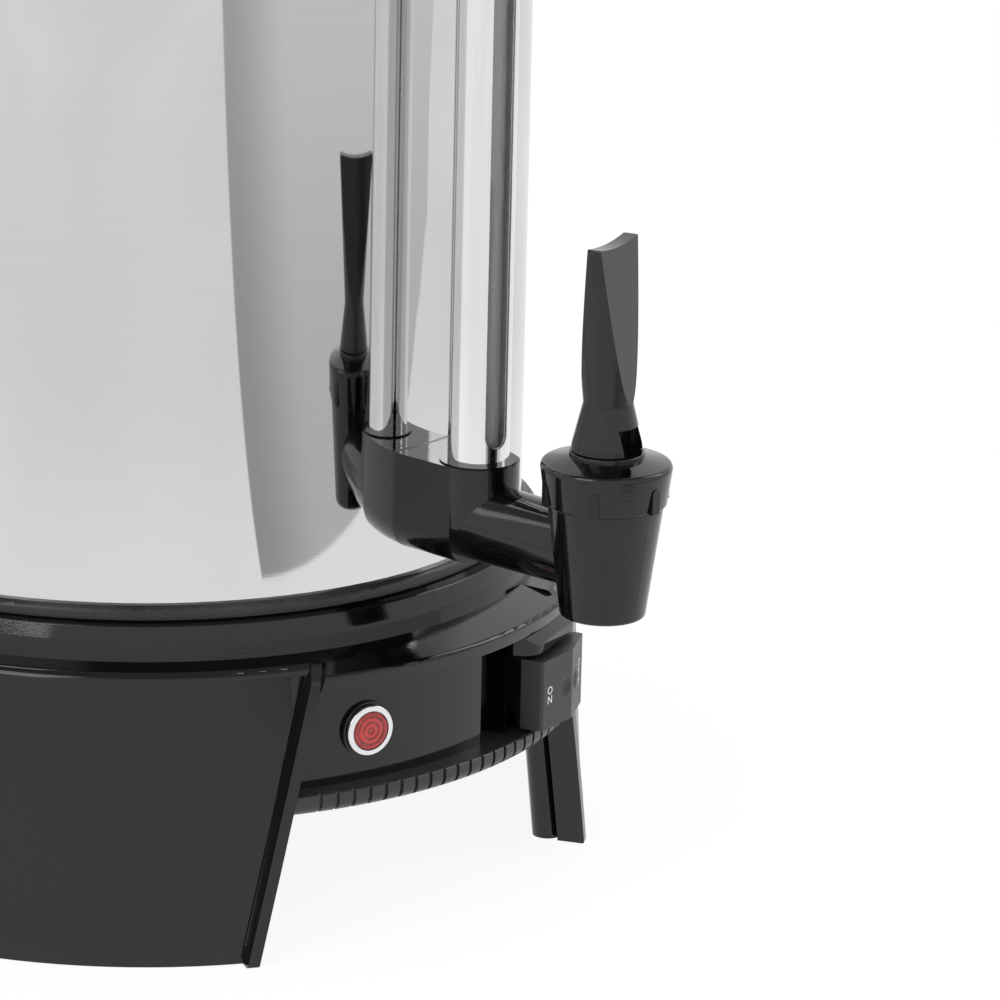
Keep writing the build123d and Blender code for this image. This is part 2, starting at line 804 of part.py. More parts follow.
with BuildPart() as switch_rocker:
    rocker_plan = [
        (0, -switch_ridge),
        (switch_half, -switch_ridge + switch_drop, switch_corner),
        (switch_half, -switch_ridge + switch_drop + switch_end_depth),
        (switch_half - 8, -switch_pivot_radius - 2),
        (4, -switch_pivot_radius + 4, 2),
        (-4, -switch_pivot_radius + 4, 2),
        (-switch_half + 8, -switch_pivot_radius - 2),
        (-switch_half, -switch_ridge + switch_drop + switch_end_depth),
        (-switch_half, -switch_ridge + switch_drop, switch_corner),
    ]
    rocker_plane = level_plane(switch_azimuth, switch_bottom)
    extrude(outline(rocker_plane, rocker_plan), amount=switch_tall)
    with BuildSketch(Plane.XY.offset(switch_bottom - 1)):
        with Locations(switch_axis.position):
            Circle(pivot_pin_radius + pin_play)
    extrude(amount=switch_tall + 2, mode=Mode.SUBTRACT)
    for side in (-1, 1):
        half_plane = outward_plane(switch_azimuth, switch_ridge, pivot_height)
        face_drop = dimple_offset * switch_drop / switch_half
        with Locations(half_plane.from_local_coords((side * dimple_offset, 0, dimple_ball - face_drop))):
            Sphere(dimple_ball + dimple_depth, mode=Mode.SUBTRACT)
save(switch_rocker, "switch_rocker")

with BuildPart() as pivot_pin:
    with BuildSketch(Plane.XY.offset(frame_bottom + 0.2)):
        with Locations(switch_axis.position):
            Circle(pivot_pin_radius)
    extrude(amount=frame_top - frame_bottom - 0.4)
save(pivot_pin, "pivot_pin")

with BuildPart() as switch_terminals:
    with BuildSketch(outward_plane(switch_azimuth, switch_frame_back, pivot_height)):
        with GridLocations(terminal_pitch, 1, 3, 1):
            Rectangle(0.8, 6.3)
    extrude(amount=-terminal_length)
save(switch_terminals, "switch_terminals")

# ---------------------------------------------------------------- power inlet
with BuildPart() as power_inlet:
    with BuildSketch(outward_plane(inlet_azimuth, inlet_front - inlet_depth, inlet_height)):
        RectangleRounded(inlet_width + 2 * inlet_wall - 0.2, inlet_tall + 2 * inlet_wall - 0.2, 2.9)
    extrude(amount=inlet_depth)
    with BuildSketch(outward_plane(inlet_azimuth, inlet_front - inlet_flange_thickness, inlet_height)):
        RectangleRounded(inlet_width + inlet_rim - 0.2, inlet_tall + inlet_rim - 0.2, 3.9)
    extrude(amount=inlet_flange_thickness)
    with BuildSketch(outward_plane(inlet_azimuth, inlet_front - inlet_depth + inlet_wall, inlet_height)):
        RectangleRounded(inlet_width, inlet_tall, 2)
    extrude(amount=inlet_depth, mode=Mode.SUBTRACT)
    with BuildSketch(outward_plane(inlet_azimuth, inlet_front - inlet_depth, inlet_height)):
        with GridLocations(inlet_pin_pitch, 1, 2, 1):
            Circle(inlet_pin_radius)
    extrude(amount=inlet_wall, mode=Mode.SUBTRACT)
save(power_inlet, "power_inlet")

with BuildPart() as inlet_pins:
    tab_end = inlet_front - inlet_depth - inlet_tab_length
    with BuildSketch(outward_plane(inlet_azimuth, tab_end, inlet_height)):
        with GridLocations(inlet_pin_pitch, 1, 2, 1):
            Circle(inlet_pin_radius)
    extrude(amount=inlet_depth + inlet_tab_length - inlet_pin_setback)
    fillet(inlet_pins.faces().sort_by(Axis.Y)[-2:].edges(), 1)
save(inlet_pins, "inlet_pins")

# ---------------------------------------------------------------- tank and heating
with BuildPart() as tank:
    shell_section = [
        (tank_inner, tank_skirt_bottom),
        (tank_radius, tank_skirt_bottom),
        (tank_radius, tank_rim_top - 2 * rim_bead),
        (tank_radius + rim_bead, tank_rim_top - 2 * rim_bead, rim_bead * 0.6),
        (tank_radius + rim_bead, tank_rim_top, 1.9),
        (tank_inner, tank_rim_top, 1.4),
    ]
    revolve(outline(section_plane(), shell_section), axis=Axis.Z)
    floor_section = [
        (well_radius, tank_floor_underside),
        (tank_radius - 0.2, tank_floor_underside),
        (tank_radius - 0.2, tank_floor + floor_corner),
        (tank_inner, tank_floor + floor_corner),
        (tank_inner, tank_floor, floor_corner - 0.2),
        (well_radius, tank_floor),
    ]
    revolve(outline(section_plane(), floor_section), axis=Axis.Z)
    with BuildSketch(outward_plane(0, tank_inner - 10, arm_height)):
        Circle(shank_radius + 0.1)
    extrude(amount=30, mode=Mode.SUBTRACT)
save(tank, "tank")

with BuildPart() as heater_well:
    well_section = [
        (0, well_bottom),
        (well_radius, well_bottom, 3),
        (well_radius, tank_floor),
        (well_radius + well_flange, tank_floor),
        (well_radius + well_flange, tank_floor + tank_wall),
        (well_radius - tank_wall, tank_floor + tank_wall, 0.8),
        (well_radius - tank_wall, well_bottom + tank_wall, 2),
        (0, well_bottom + tank_wall),
    ]
    revolve(outline(section_plane(), well_section), axis=Axis.Z)
save(heater_well, "heater_well")

with BuildPart() as heater_ring:
    heater_height = tank_floor_underside - heater_tube_radius
    with BuildSketch(section_plane()):
        with Locations((heater_circle, heater_height)):
            Circle(heater_tube_radius)
    revolve(axis=Axis.Z)
    with BuildSketch(Plane.XY.offset(heater_height - heater_tail)):
        with Locations((heater_circle, 0), (-heater_circle, 0)):
            Circle(heater_tube_radius - 0.6)
    extrude(amount=heater_tail)
save(heater_ring, "heater_ring")

with BuildPart() as tie_rod:
    with BuildSketch(Plane.XY.offset(tie_rod_bottom)):
        Circle(tie_rod_radius)
    extrude(amount=well_bottom - tie_rod_bottom)
    chamfer(tie_rod.faces().sort_by(Axis.Z)[0].edges(), 0.6)
save(tie_rod, "tie_rod")

with BuildPart() as tie_nut:
    with BuildSketch(Plane.XY.offset(cover_underside)):
        RegularPolygon(tie_nut_flats / 2, 6, major_radius=False)
        Circle(tie_rod_radius, mode=Mode.SUBTRACT)
    extrude(amount=-tie_nut_height)
save(tie_nut, "tie_nut")

with BuildPart() as thermostat:
    with BuildSketch(Plane.XY.offset(tank_floor_underside)):
        with Locations((0, thermostat_offset)):
            Circle(thermostat_radius + 3)
    extrude(amount=-thermostat_plate)
    with BuildSketch(Plane.XY.offset(tank_floor_underside - thermostat_plate)):
        with Locations((0, thermostat_offset)):
            Circle(thermostat_radius)
    extrude(amount=-thermostat_height)
    with BuildSketch(Plane.XY.offset(tank_floor_underside - thermostat_plate - thermostat_height)):
        with Locations((5, thermostat_offset), (-5, thermostat_offset)):
            Rectangle(0.8, 5)
    extrude(amount=-6)
save(thermostat, "thermostat")

with BuildPart() as thermal_fuse:
    for radius, length in ((fuse_radius, fuse_length), (0.3 * fuse_radius, fuse_length + 12)):
        with BuildSketch(Plane.YZ.offset(-length / 2)):
            with Locations((-fuse_offset, tank_floor_underside - fuse_radius)):
                Circle(radius)
        extrude(amount=length)
save(thermal_fuse, "thermal_fuse")

# ---------------------------------------------------------------- faucet
with BuildPart() as faucet_body:
    # Block on the tank, the socket for the gauge and the arm to the cup
    block_face = [
        (-socket_outer, block_rise),
        (-socket_outer, -arm_drop, arm_corner),
        (socket_outer, -arm_drop, arm_corner),
        (socket_outer, block_rise),
    ]
    extrude(outline(outward_plane(0, tank_radius - 5, arm_height), block_face), amount=gauge_reach + 5)
    for socket_radius, socket_rise in ((socket_outer, block_rise), (socket_ring, block_rise + socket_ring_rise)):
        with BuildSketch(Plane.XY.offset(arm_height)):
            with Locations(gauge_centre):
                Circle(socket_radius)
        extrude(amount=socket_rise)
    with BuildSketch(outward_plane(0, gauge_radius - 4, arm_height)):
        Circle(arm_radius)
    with BuildSketch(outward_plane(0, faucet_radius - 8, arm_height)):
        Circle(arm_tip_radius)
    loft()
    cup_outside = [
        (0, cup_bottom),
        (cup_bottom_radius, cup_bottom, 1.2),
        (cup_top_radius, cup_top, 0.5),
        (neck_radius, cup_top),
        (neck_radius, neck_top),
        (0, neck_top),
    ]
    revolve(outline(section_plane(centre=faucet_centre), cup_outside), axis=faucet_axis)
    # The back follows the tank, with room for the gasket
    with BuildSketch(Plane.XY.offset(arm_height - 30)):
        Circle(tank_radius + faucet_gasket_thickness)
    extrude(amount=60, mode=Mode.SUBTRACT)
    # Threaded shank through the tank wall
    with BuildSketch(outward_plane(0, shank_inner_end, arm_height)):
        Circle(shank_radius)
    extrude(amount=tank_radius + 4 - shank_inner_end)
    # Waterway, cup and gauge bores
    with BuildSketch(outward_plane(0, shank_inner_end - 2, arm_height)):
        Circle(channel_radius)
    extrude(amount=faucet_radius - shank_inner_end + 2, mode=Mode.SUBTRACT)
    cavity_low = cup_bottom_radius + (cup_top_radius - cup_bottom_radius) * 0.3 - cup_wall
    cup_inside = [
        (0, cup_floor),
        (cavity_low, cup_floor, 1),
        (neck_radius - neck_wall, cup_top),
        (neck_radius - neck_wall, neck_top),
        (0, neck_top),
    ]
    revolve(outline(section_plane(centre=faucet_centre), cup_inside), axis=faucet_axis, mode=Mode.SUBTRACT)
    with BuildSketch(Plane.XY.offset(cup_floor)):
        with Locations(faucet_centre):
            Circle(outlet_radius + 1.8)
    extrude(amount=seat_height)
    with BuildSketch(Plane.XY.offset(cup_bottom)):
        with Locations(faucet_centre):
            Circle(outlet_radius)
    extrude(amount=cup_floor + seat_height - cup_bottom, mode=Mode.SUBTRACT)
    with BuildSketch(Plane.XY.offset(arm_height)):
        with Locations(gauge_centre):
            Circle(glass_inner - 1.5)
    extrude(amount=guard_seat_rise - 2, mode=Mode.SUBTRACT)
    with BuildSketch(Plane.XY.offset(seal_pocket)):
        with Locations(gauge_centre):
            Circle(seal_radius)
    extrude(amount=20, mode=Mode.SUBTRACT)
    with BuildSketch(Plane.XY.offset(guard_seat)):
        with Locations(gauge_centre):
            Circle(guard_outer)
    extrude(amount=20, mode=Mode.SUBTRACT)
save(faucet_body, "faucet_body")

with BuildPart() as faucet_gasket:
    extrude(outline(outward_plane(0, tank_radius - 10, arm_height), block_face), amount=20)
    with BuildSketch(Plane.XY.offset(arm_height - 30)):
        Circle(tank_radius + faucet_gasket_thickness)
    extrude(amount=60, mode=Mode.INTERSECT)
    with BuildSketch(Plane.XY.offset(arm_height - 30)):
        Circle(tank_radius)
    extrude(amount=60, mode=Mode.SUBTRACT)
    with BuildSketch(outward_plane(0, tank_radius - 10, arm_height)):
        Circle(shank_radius + 0.1)
    extrude(amount=30, mode=Mode.SUBTRACT)
save(faucet_gasket, "faucet_gasket")

with BuildPart() as shank_washer:
    with BuildSketch(outward_plane(0, tank_inner - 3.4, arm_height)):
        Circle(shank_radius + 4)
        Circle(shank_radius, mode=Mode.SUBTRACT)
    extrude(amount=washer_thickness + 3)
    with BuildSketch(Plane.XY.offset(arm_height - 30)):
        Circle(tank_inner)
    extrude(amount=60, mode=Mode.INTERSECT)
save(shank_washer, "shank_washer")

with BuildPart() as shank_nut:
    with BuildSketch(outward_plane(0, tank_inner - 3.4, arm_height)):
        RegularPolygon(shank_nut_flats / 2, 6, major_radius=False)
        Circle(shank_radius, mode=Mode.SUBTRACT)
    extrude(amount=-shank_nut_length)
save(shank_nut, "shank_nut")

with BuildPart() as faucet_bonnet:
    inner_radius = neck_radius + bonnet_wall_gap
    bonnet_section = [
        (stem_radius + running_gap, bonnet_top),
        (bonnet_ring_radius, bonnet_top, 0.3),
        (bonnet_ring_radius, bonnet_ring_foot),
        (bonnet_shoulder_radius - 0.4, bonnet_shoulder + 1.4, 1.2),
        (bonnet_shoulder_radius, bonnet_shoulder, 0.8),
        (bonnet_foot_radius, cup_top, 0.4),
        (inner_radius, cup_top),
        (inner_radius, neck_top + 1),
        (neck_radius - neck_wall, neck_top + 1),
        (neck_radius - neck_wall, bonnet_shoulder, 1),
        (stem_radius + running_gap, bonnet_shoulder),
    ]
    revolve(outline(section_plane(centre=faucet_centre), bonnet_section), axis=faucet_axis)
    for i in range(grip_count):
        grip_azimuth = i * 360 / grip_count
        grip_root = neck_radius + 1.2
        grip_side = grip_height - grip_width / 2
        with BuildSketch(outward_plane(grip_azimuth, grip_root, cup_top, centre=faucet_centre)):
            with Locations((0, grip_side / 2)):
                Rectangle(grip_width, grip_side)
            with Locations((0, grip_side)):
                Circle(grip_width / 2)
        extrude(amount=bonnet_foot_radius + 0.9 + grip_proud - grip_root)
save(faucet_bonnet, "faucet_bonnet")

with BuildPart() as bonnet_washer:
    with BuildSketch(Plane.XY.offset(neck_top)):
        with Locations(faucet_centre):
            Circle(neck_radius)
            Circle(neck_radius - neck_wall, mode=Mode.SUBTRACT)
    extrude(amount=1)
save(bonnet_washer, "bonnet_washer")

with BuildPart() as seat_cup:
    seat_section = [
        (0, seat_top),
        (seat_cup_radius, seat_top, 0.8),
        (seat_cup_radius + seat_cup_flare, seat_top + seat_cup_height),
        (stem_foot_radius, seat_top + seat_cup_height),
        (stem_foot_radius, stem_foot_height),
        (0, stem_foot_height),
    ]
    revolve(outline(section_plane(centre=faucet_centre), seat_section), axis=faucet_axis)
save(seat_cup, "seat_cup")

spring_foot = stem_foot_height + stem_foot_thickness
with BuildPart() as faucet_stem:
    stem_section = [
        (0, stem_foot_height),
        (stem_foot_radius, stem_foot_height),
        (stem_foot_radius, spring_foot, 0.4),
        (stem_radius, spring_foot),
        (stem_radius, stem_top, 0.6),
        (0, stem_top),
    ]
    revolve(outline(section_plane(centre=faucet_centre), stem_section), axis=faucet_axis)
    with BuildSketch(handle_side):
        with Locations((0, handle_pin_height)):
            Circle(handle_pin_radius + pin_play)
    extrude(amount=20, both=True, mode=Mode.SUBTRACT)
save(faucet_stem, "faucet_stem")

with BuildPart() as faucet_spring:
    spring_rise = bonnet_shoulder - spring_foot - 2 * spring_wire - 0.2
    with BuildLine():
        coil = Helix(
            pitch=spring_rise / spring_turns,
            height=spring_rise,
            radius=spring_radius,
            center=(0, -faucet_radius, spring_foot + spring_wire + 0.1),
        )
    with BuildSketch(Plane(origin=coil @ 0, z_dir=coil % 0)):
        Circle(spring_wire)
    sweep(is_frenet=True)
save(faucet_spring, "faucet_spring")

with BuildPart() as faucet_handle:
    handle_turned = [
        (0, bonnet_top + lift_gap),
        (handle_skirt_radius, bonnet_top + lift_gap, 0.4),
        (handle_skirt_radius - 0.2, bonnet_top + handle_land),
        (handle_waist_radius, handle_waist, 3),
        (handle_top_radius, handle_top, 0.5),
        (0, handle_top),
    ]
    revolve(outline(section_plane(centre=faucet_centre), handle_turned), axis=faucet_axis)
    blade_side = [
        (-handle_skirt_radius - 1, bonnet_top - 1),
        (handle_skirt_radius + 1, bonnet_top - 1),
        (handle_skirt_radius + 1, handle_waist - 3),
        (handle_waist_radius, handle_waist),
        (handle_edge_half, handle_top + 0.1),
        (-handle_edge_half, handle_top + 0.1),
        (-handle_waist_radius, handle_waist),
        (-handle_skirt_radius - 1, handle_waist - 3),
    ]
    extrude(outline(handle_side, blade_side), amount=20, both=True, mode=Mode.INTERSECT)
    # Hollow top edge between two small nubs
    with BuildSketch(section_plane(handle_azimuth + 90, faucet_centre)):
        with Locations((0, handle_top + handle_top_hollow - 1)):
            Circle(handle_top_hollow)
    extrude(amount=20, both=True, mode=Mode.SUBTRACT)
    # Slot for the stem, open on the outward side, and the cam notch round it
    slot_half = stem_radius + running_gap + 0.1
    stem_slot = [
        (-slot_half, bonnet_top - 1),
        (handle_skirt_radius + 1, bonnet_top - 1),
        (handle_skirt_radius + 1, handle_pin_height - 1.5),
        (cam_swing, handle_pin_height + 0.5, 0.5),
        (cam_swing - 0.7, handle_pin_height + cam_swing - 0.3, 2),
        (0.7 - cam_swing, handle_pin_height + cam_swing - 0.3, 2),
        (-cam_swing, handle_pin_height - 1),
        (-slot_half, handle_pin_height - cam_swing + 0.9),
    ]
    extrude(outline(handle_side, stem_slot), amount=slot_half, both=True, mode=Mode.SUBTRACT)
    cam_notch = [
        (notch_inner, bonnet_top - 1),
        (handle_skirt_radius + 1, bonnet_top - 1),
        (handle_skirt_radius + 1, notch_top),
        (notch_inner, notch_top),
    ]
    extrude(outline(handle_side, cam_notch), amount=notch_width / 2, both=True, mode=Mode.SUBTRACT)
    with BuildSketch(handle_side):
        with Locations((0, handle_pin_height)):
            Circle(handle_pin_radius)
    extrude(amount=handle_pin_half + 0.1, both=True, mode=Mode.SUBTRACT)
save(faucet_handle, "faucet_handle")

with BuildPart() as handle_pin:
    with BuildSketch(handle_side):
        with Locations((0, handle_pin_height)):
            Circle(handle_pin_radius)
    extrude(amount=handle_pin_half, both=True)
save(handle_pin, "handle_pin")

# ---------------------------------------------------------------- sight gauge
with BuildPart() as gauge_guard:
    with BuildSketch(Plane.XY.offset(guard_seat)):
        with Locations(gauge_centre):
            Circle(guard_outer)
            Circle(guard_inner, mode=Mode.SUBTRACT)
    extrude(amount=guard_length)
    slot_plane = outward_plane(slot_azimuth, 0, (slot_bottom + slot_top) / 2, centre=gauge_centre)
    with BuildSketch(slot_plane):
        with Locations(Rotation(0, 0, 90)):
            SlotOverall(slot_top - slot_bottom, slot_width)
    extrude(amount=guard_outer + 2, mode=Mode.SUBTRACT)
save(gauge_guard, "gauge_guard")

with BuildPart() as gauge_glass:
    with BuildSketch(Plane.XY.offset(seal_pocket + seal_floor)):
        with Locations(gauge_centre):
            Circle(glass_outer)
            Circle(glass_inner, mode=Mode.SUBTRACT)
    extrude(amount=guard_top - seal_pocket - 2 * seal_floor)
save(gauge_glass, "gauge_glass")

with BuildPart() as gauge_seal_lower:
    lower_section = [
        (glass_inner - 1.5, seal_pocket),
        (seal_radius, seal_pocket),
        (seal_radius, seal_top, 0.5),
        (glass_outer, seal_top),
        (glass_outer, seal_pocket + seal_floor),
        (glass_inner - 1.5, seal_pocket + seal_floor),
    ]
    revolve(outline(section_plane(centre=gauge_centre), lower_section), axis=gauge_axis)
save(gauge_seal_lower, "gauge_seal_lower")

with BuildPart() as gauge_seal_upper:
    upper_section = [
        (glass_outer, guard_top - seal_floor - seal_depth),
        (seal_radius, guard_top - seal_floor - seal_depth, 0.5),
        (seal_radius, guard_top),
        (glass_inner - 1.5, guard_top),
        (glass_inner - 1.5, guard_top - seal_floor),
        (glass_outer, guard_top - seal_floor),
    ]
    revolve(outline(section_plane(centre=gauge_centre), upper_section), axis=gauge_axis)
save(gauge_seal_upper, "gauge_seal_upper")

with BuildPart() as gauge_cap:
    cap_section = [
        (guard_outer, guard_top - cap_skirt),
        (guard_outer + cap_wall, guard_top - cap_skirt, 0.3),
        (guard_outer + cap_wall, guard_top + 1, 4),
        (guard_outer / 2, guard_top + cap_dome, 2),
        (0, guard_top + cap_dome),
        (0, guard_top),
        (guard_outer, guard_top),
    ]
    revolve(outline(section_plane(centre=gauge_centre), cap_section), axis=gauge_axis)
save(gauge_cap, "gauge_cap")

# ---------------------------------------------------------------- side handles
def side_handle(azimuth):
    """Moulded bow with two feet that seat on the welded stud plates."""
    start = azimuth - grip_half_angle
    foot_half = grip_tall / 2
    with BuildPart() as bow:
        bow_section = [
            (grip_inner, handle_height - foot_half, grip_round),
            (grip_outer, handle_height - foot_half, grip_round),
            (grip_outer, handle_height + foot_half, grip_round),
            (grip_inner, handle_height + foot_half, grip_round),
        ]
        revolve(
            outline(section_plane(start), bow_section),
            axis=Axis.Z,
            revolution_arc=2 * grip_half_angle,
        )
        for side in (-1, 1):
            foot_azimuth = azimuth + side * (grip_half_angle - grip_end_angle / 2)
            foot_seat = tank_radius + stud_plate_thickness
            with BuildSketch(outward_plane(foot_azimuth, foot_seat, handle_height)):
                RectangleRounded(foot_width, grip_tall, grip_round)
            extrude(amount=grip_outer - 1 - foot_seat)
            with BuildSketch(outward_plane(foot_azimuth, tank_radius - 5, handle_height)):
                Circle(stud_radius)
            extrude(amount=60, mode=Mode.SUBTRACT)
            nut_seat = grip_outer - nut_height - nut_setback
            with BuildSketch(outward_plane(foot_azimuth, nut_seat, handle_height)):
                Circle(nut_flats / 2 * 1.155 + 0.3)
            extrude(amount=20, mode=Mode.SUBTRACT)
    return bow


handle_azimuths = {"handle_right": 90, "handle_left": -90}
foot_azimuths = []
for name, azimuth in handle_azimuths.items():
    save(side_handle(azimuth), name)
    for side in (-1, 1):
        foot_azimuths.append(azimuth + side * (grip_half_angle - grip_end_angle / 2))

with BuildPart() as handle_studs:
    for azimuth in foot_azimuths:
        with BuildSketch(outward_plane(azimuth, tank_radius - 3, handle_height)):
            Circle(stud_plate_radius)
        extrude(amount=3 + stud_plate_thickness)
        with BuildSketch(outward_plane(azimuth, tank_radius, handle_height)):
            Circle(stud_radius)
        extrude(amount=grip_outer - 1.5 * nut_setback - tank_radius)
    with BuildSketch(Plane.XY.offset(handle_height - 30)):
        Circle(tank_radius)
    extrude(amount=60, mode=Mode.SUBTRACT)
save(handle_studs, "handle_studs")

with BuildPart() as handle_nuts:
    for azimuth in foot_azimuths:
        with BuildSketch(outward_plane(azimuth, grip_outer - nut_height - nut_setback, handle_height)):
            RegularPolygon(nut_flats / 2, 6, major_radius=False)
            Circle(stud_radius, mode=Mode.SUBTRACT)
        extrude(amount=nut_height)
save(handle_nuts, "handle_nuts")

# ---------------------------------------------------------------- lid
with BuildPart() as lid:
    lid_section = [
        (0, lid_crown),
        (lid_flat, lid_crown, 20),
        (2.6 * lid_flat, lid_crown - 1.4, 60),
        (lid_shoulder_radius, lid_shoulder, 8),
        (lid_plug_radius, tank_rim_top + 1.5, 1.5),
        (lid_edge_radius, tank_rim_top + 1.2, 0.4),
        (lid_edge_radius, tank_rim_top + lid_gap),
        (lid_plug_radius, tank_rim_top + lid_gap),
        (lid_plug_radius, lid_plug_bottom),
        (lid_plug_radius - lid_sheet, lid_plug_bottom),
        (lid_plug_radius - lid_sheet, tank_rim_top),
        (lid_shoulder_radius - 1, lid_shoulder - lid_sheet, 8),
        (2.6 * lid_flat, lid_crown - lid_sheet - 1.4, 60),
        (lid_flat, lid_crown - lid_sheet, 20),
        (0, lid_crown - lid_sheet),
    ]
    revolve(outline(section_plane(), lid_section), axis=Axis.Z)
    with BuildSketch(Plane.XY.offset(lid_shoulder - 5)):
        with PolarLocations(vent_offset, 2):
            Circle(vent_radius)
        Circle(knob_screw_radius + 0.25)
    extrude(amount=30, mode=Mode.SUBTRACT)
save(lid, "lid")

with BuildPart() as lid_knob:
    knob_foot = lid_crown + knob_stem_height
    knob_crown = lid_crown + knob_height
    knob_section = [
        (knob_screw_radius + 0.05, lid_crown),
        (knob_stem_radius + 4, lid_crown, 1),
        (knob_stem_radius, lid_crown + knob_stem_height / 2, 3),
        (knob_stem_radius, knob_foot, 3),
        (knob_radius, knob_foot + 6, 3),
        (knob_radius - 2, knob_crown - 2, 4),
        (0, knob_crown),
        (0, knob_foot + 4),
        (knob_screw_radius + 0.05, knob_foot + 4),
    ]
    revolve(outline(section_plane(), knob_section), axis=Axis.Z)
save(lid_knob, "lid_knob")

with BuildPart() as knob_screw:
    head_seat = lid_crown - lid_sheet
    screw_section = [
        (0, head_seat - 2.6),
        (knob_screw_head, head_seat - 2.6, 1.5),
        (knob_screw_head, head_seat),
        (knob_screw_radius, head_seat),
        (knob_screw_radius, knob_foot + 2),
        (0, knob_foot + 2),
    ]
    revolve(outline(section_plane(), screw_section), axis=Axis.Z)
save(knob_screw, "knob_screw")

# ---------------------------------------------------------------- pump, basket and basket cover
with BuildPart() as pump_tube:
    tube_foot = pump_foot + pump_cone + 0.7
    with BuildSketch(Plane.XY.offset(tube_foot)):
        Circle(pump_radius)
        Circle(pump_radius - pump_wall, mode=Mode.SUBTRACT)
    extrude(amount=pump_top - tube_foot)
    bead_section = [
        (pump_radius - 0.1, basket_bottom - 3),
        (pump_radius + 3, basket_bottom - 1, 0.8),
        (pump_radius + 3, basket_bottom, 0.3),
        (pump_radius - 0.1, basket_bottom),
    ]
    revolve(outline(section_plane(), bead_section), axis=Axis.Z)
save(pump_tube, "pump_tube")

with BuildPart() as pump_base:
    base_section = [
        (pump_foot_radius - 1.2, pump_foot),
        (pump_foot_radius, pump_foot, 0.4),
        (pump_foot_radius - 1, pump_foot + pump_skirt, 2),
        (pump_radius + 3, pump_foot + pump_cone, 3),
        (pump_radius + 1.4, pump_foot + pump_socket, 0.5),
        (pump_radius, pump_foot + pump_socket),
        (pump_radius, tube_foot),
        (pump_radius - pump_wall, tube_foot),
        (pump_radius - pump_wall, pump_foot + pump_cone - 1.4),
        (pump_foot_radius - 3.2, pump_foot + pump_skirt - 0.8, 2),
    ]
    revolve(outline(section_plane(), base_section), axis=Axis.Z)
    with BuildSketch(Plane.XY.offset(pump_foot)):
        with PolarLocations(pump_foot_radius, 6):
            Circle(1.6)
    extrude(amount=3, mode=Mode.SUBTRACT)
save(pump_base, "pump_base")

with BuildPart() as coffee_basket:
    basket_floor = basket_bottom + basket_gap
    basket_section = [
        (screen_radius - screen_lap, basket_floor),
        (basket_radius, basket_floor, 6),
        (basket_radius + basket_flare, basket_top),
        (basket_radius + basket_flare + basket_lip, basket_top),
        (basket_radius + basket_flare + basket_lip, basket_top + basket_sheet),
        (basket_radius + basket_flare - basket_sheet, basket_top + basket_sheet),
        (basket_radius - basket_sheet, basket_floor + basket_sheet, 6 - basket_sheet),
        (screen_radius - screen_lap, basket_floor + basket_sheet),
    ]
    revolve(outline(section_plane(), basket_section), axis=Axis.Z)
save(coffee_basket, "coffee_basket")

with BuildPart() as basket_screen:
    with BuildSketch(Plane.XY.offset(basket_floor + basket_sheet)):
        Circle(screen_radius)
        Circle(sleeve, mode=Mode.SUBTRACT)
        for row in range(screen_rows):
            with PolarLocations(screen_radius * (0.3 + 0.25 * row), 8 + 8 * row):
                Circle(screen_hole_radius, mode=Mode.SUBTRACT)
    extrude(amount=basket_sheet)
save(basket_screen, "basket_screen")

with BuildPart() as basket_sleeve:
    sleeve_foot = basket_floor + 2 * basket_sheet
    sleeve_section = [
        (sleeve, sleeve_foot),
        (sleeve + 3, sleeve_foot),
        (sleeve + 3, sleeve_foot + basket_sheet),
        (sleeve + basket_sheet, sleeve_foot + basket_sheet),
        (sleeve + basket_sheet, basket_top - 4),
        (sleeve, basket_top - 4),
    ]
    revolve(outline(section_plane(), sleeve_section), axis=Axis.Z)
save(basket_sleeve, "basket_sleeve")

with BuildPart() as basket_cover:
    cover_edge = basket_radius + basket_flare + basket_lip - 0.5
    cover_rise = cover_foot + 1
    cover_section = [
        (sleeve, cover_rise),
        (cover_edge - 3 * cover_step_width + 1, cover_rise, 3),
        (cover_edge - 2 * cover_step_width - 1.5, cover_foot, 1),
        (cover_edge, cover_foot),
        (cover_edge, cover_foot + basket_sheet),
        (cover_edge - 2 * cover_step_width - 0.5, cover_foot + basket_sheet, 1),
        (cover_edge - 3 * cover_step_width, cover_rise + basket_sheet, 3),
        (sleeve, cover_rise + basket_sheet),
    ]
    revolve(outline(section_plane(), cover_section), axis=Axis.Z)
    with BuildSketch(Plane.XY.offset(cover_foot - 1)):
        for row in range(spreader_rows):
            with PolarLocations(basket_radius * (0.25 + 0.25 * row), 6 + 4 * row):
                Circle(spreader_hole_radius)
    extrude(amount=6, mode=Mode.SUBTRACT)
save(basket_cover, "basket_cover")
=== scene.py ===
"""Looks of the coffee urn: finishes of every part, the ringed lamp lens, the switch's letters,
and a plain studio with soft lamps. Metres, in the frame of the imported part."""
import json
from math import atan2, cos, degrees, pi, radians, sin

import bmesh
import bpy
from mathutils import Euler, Matrix, Vector


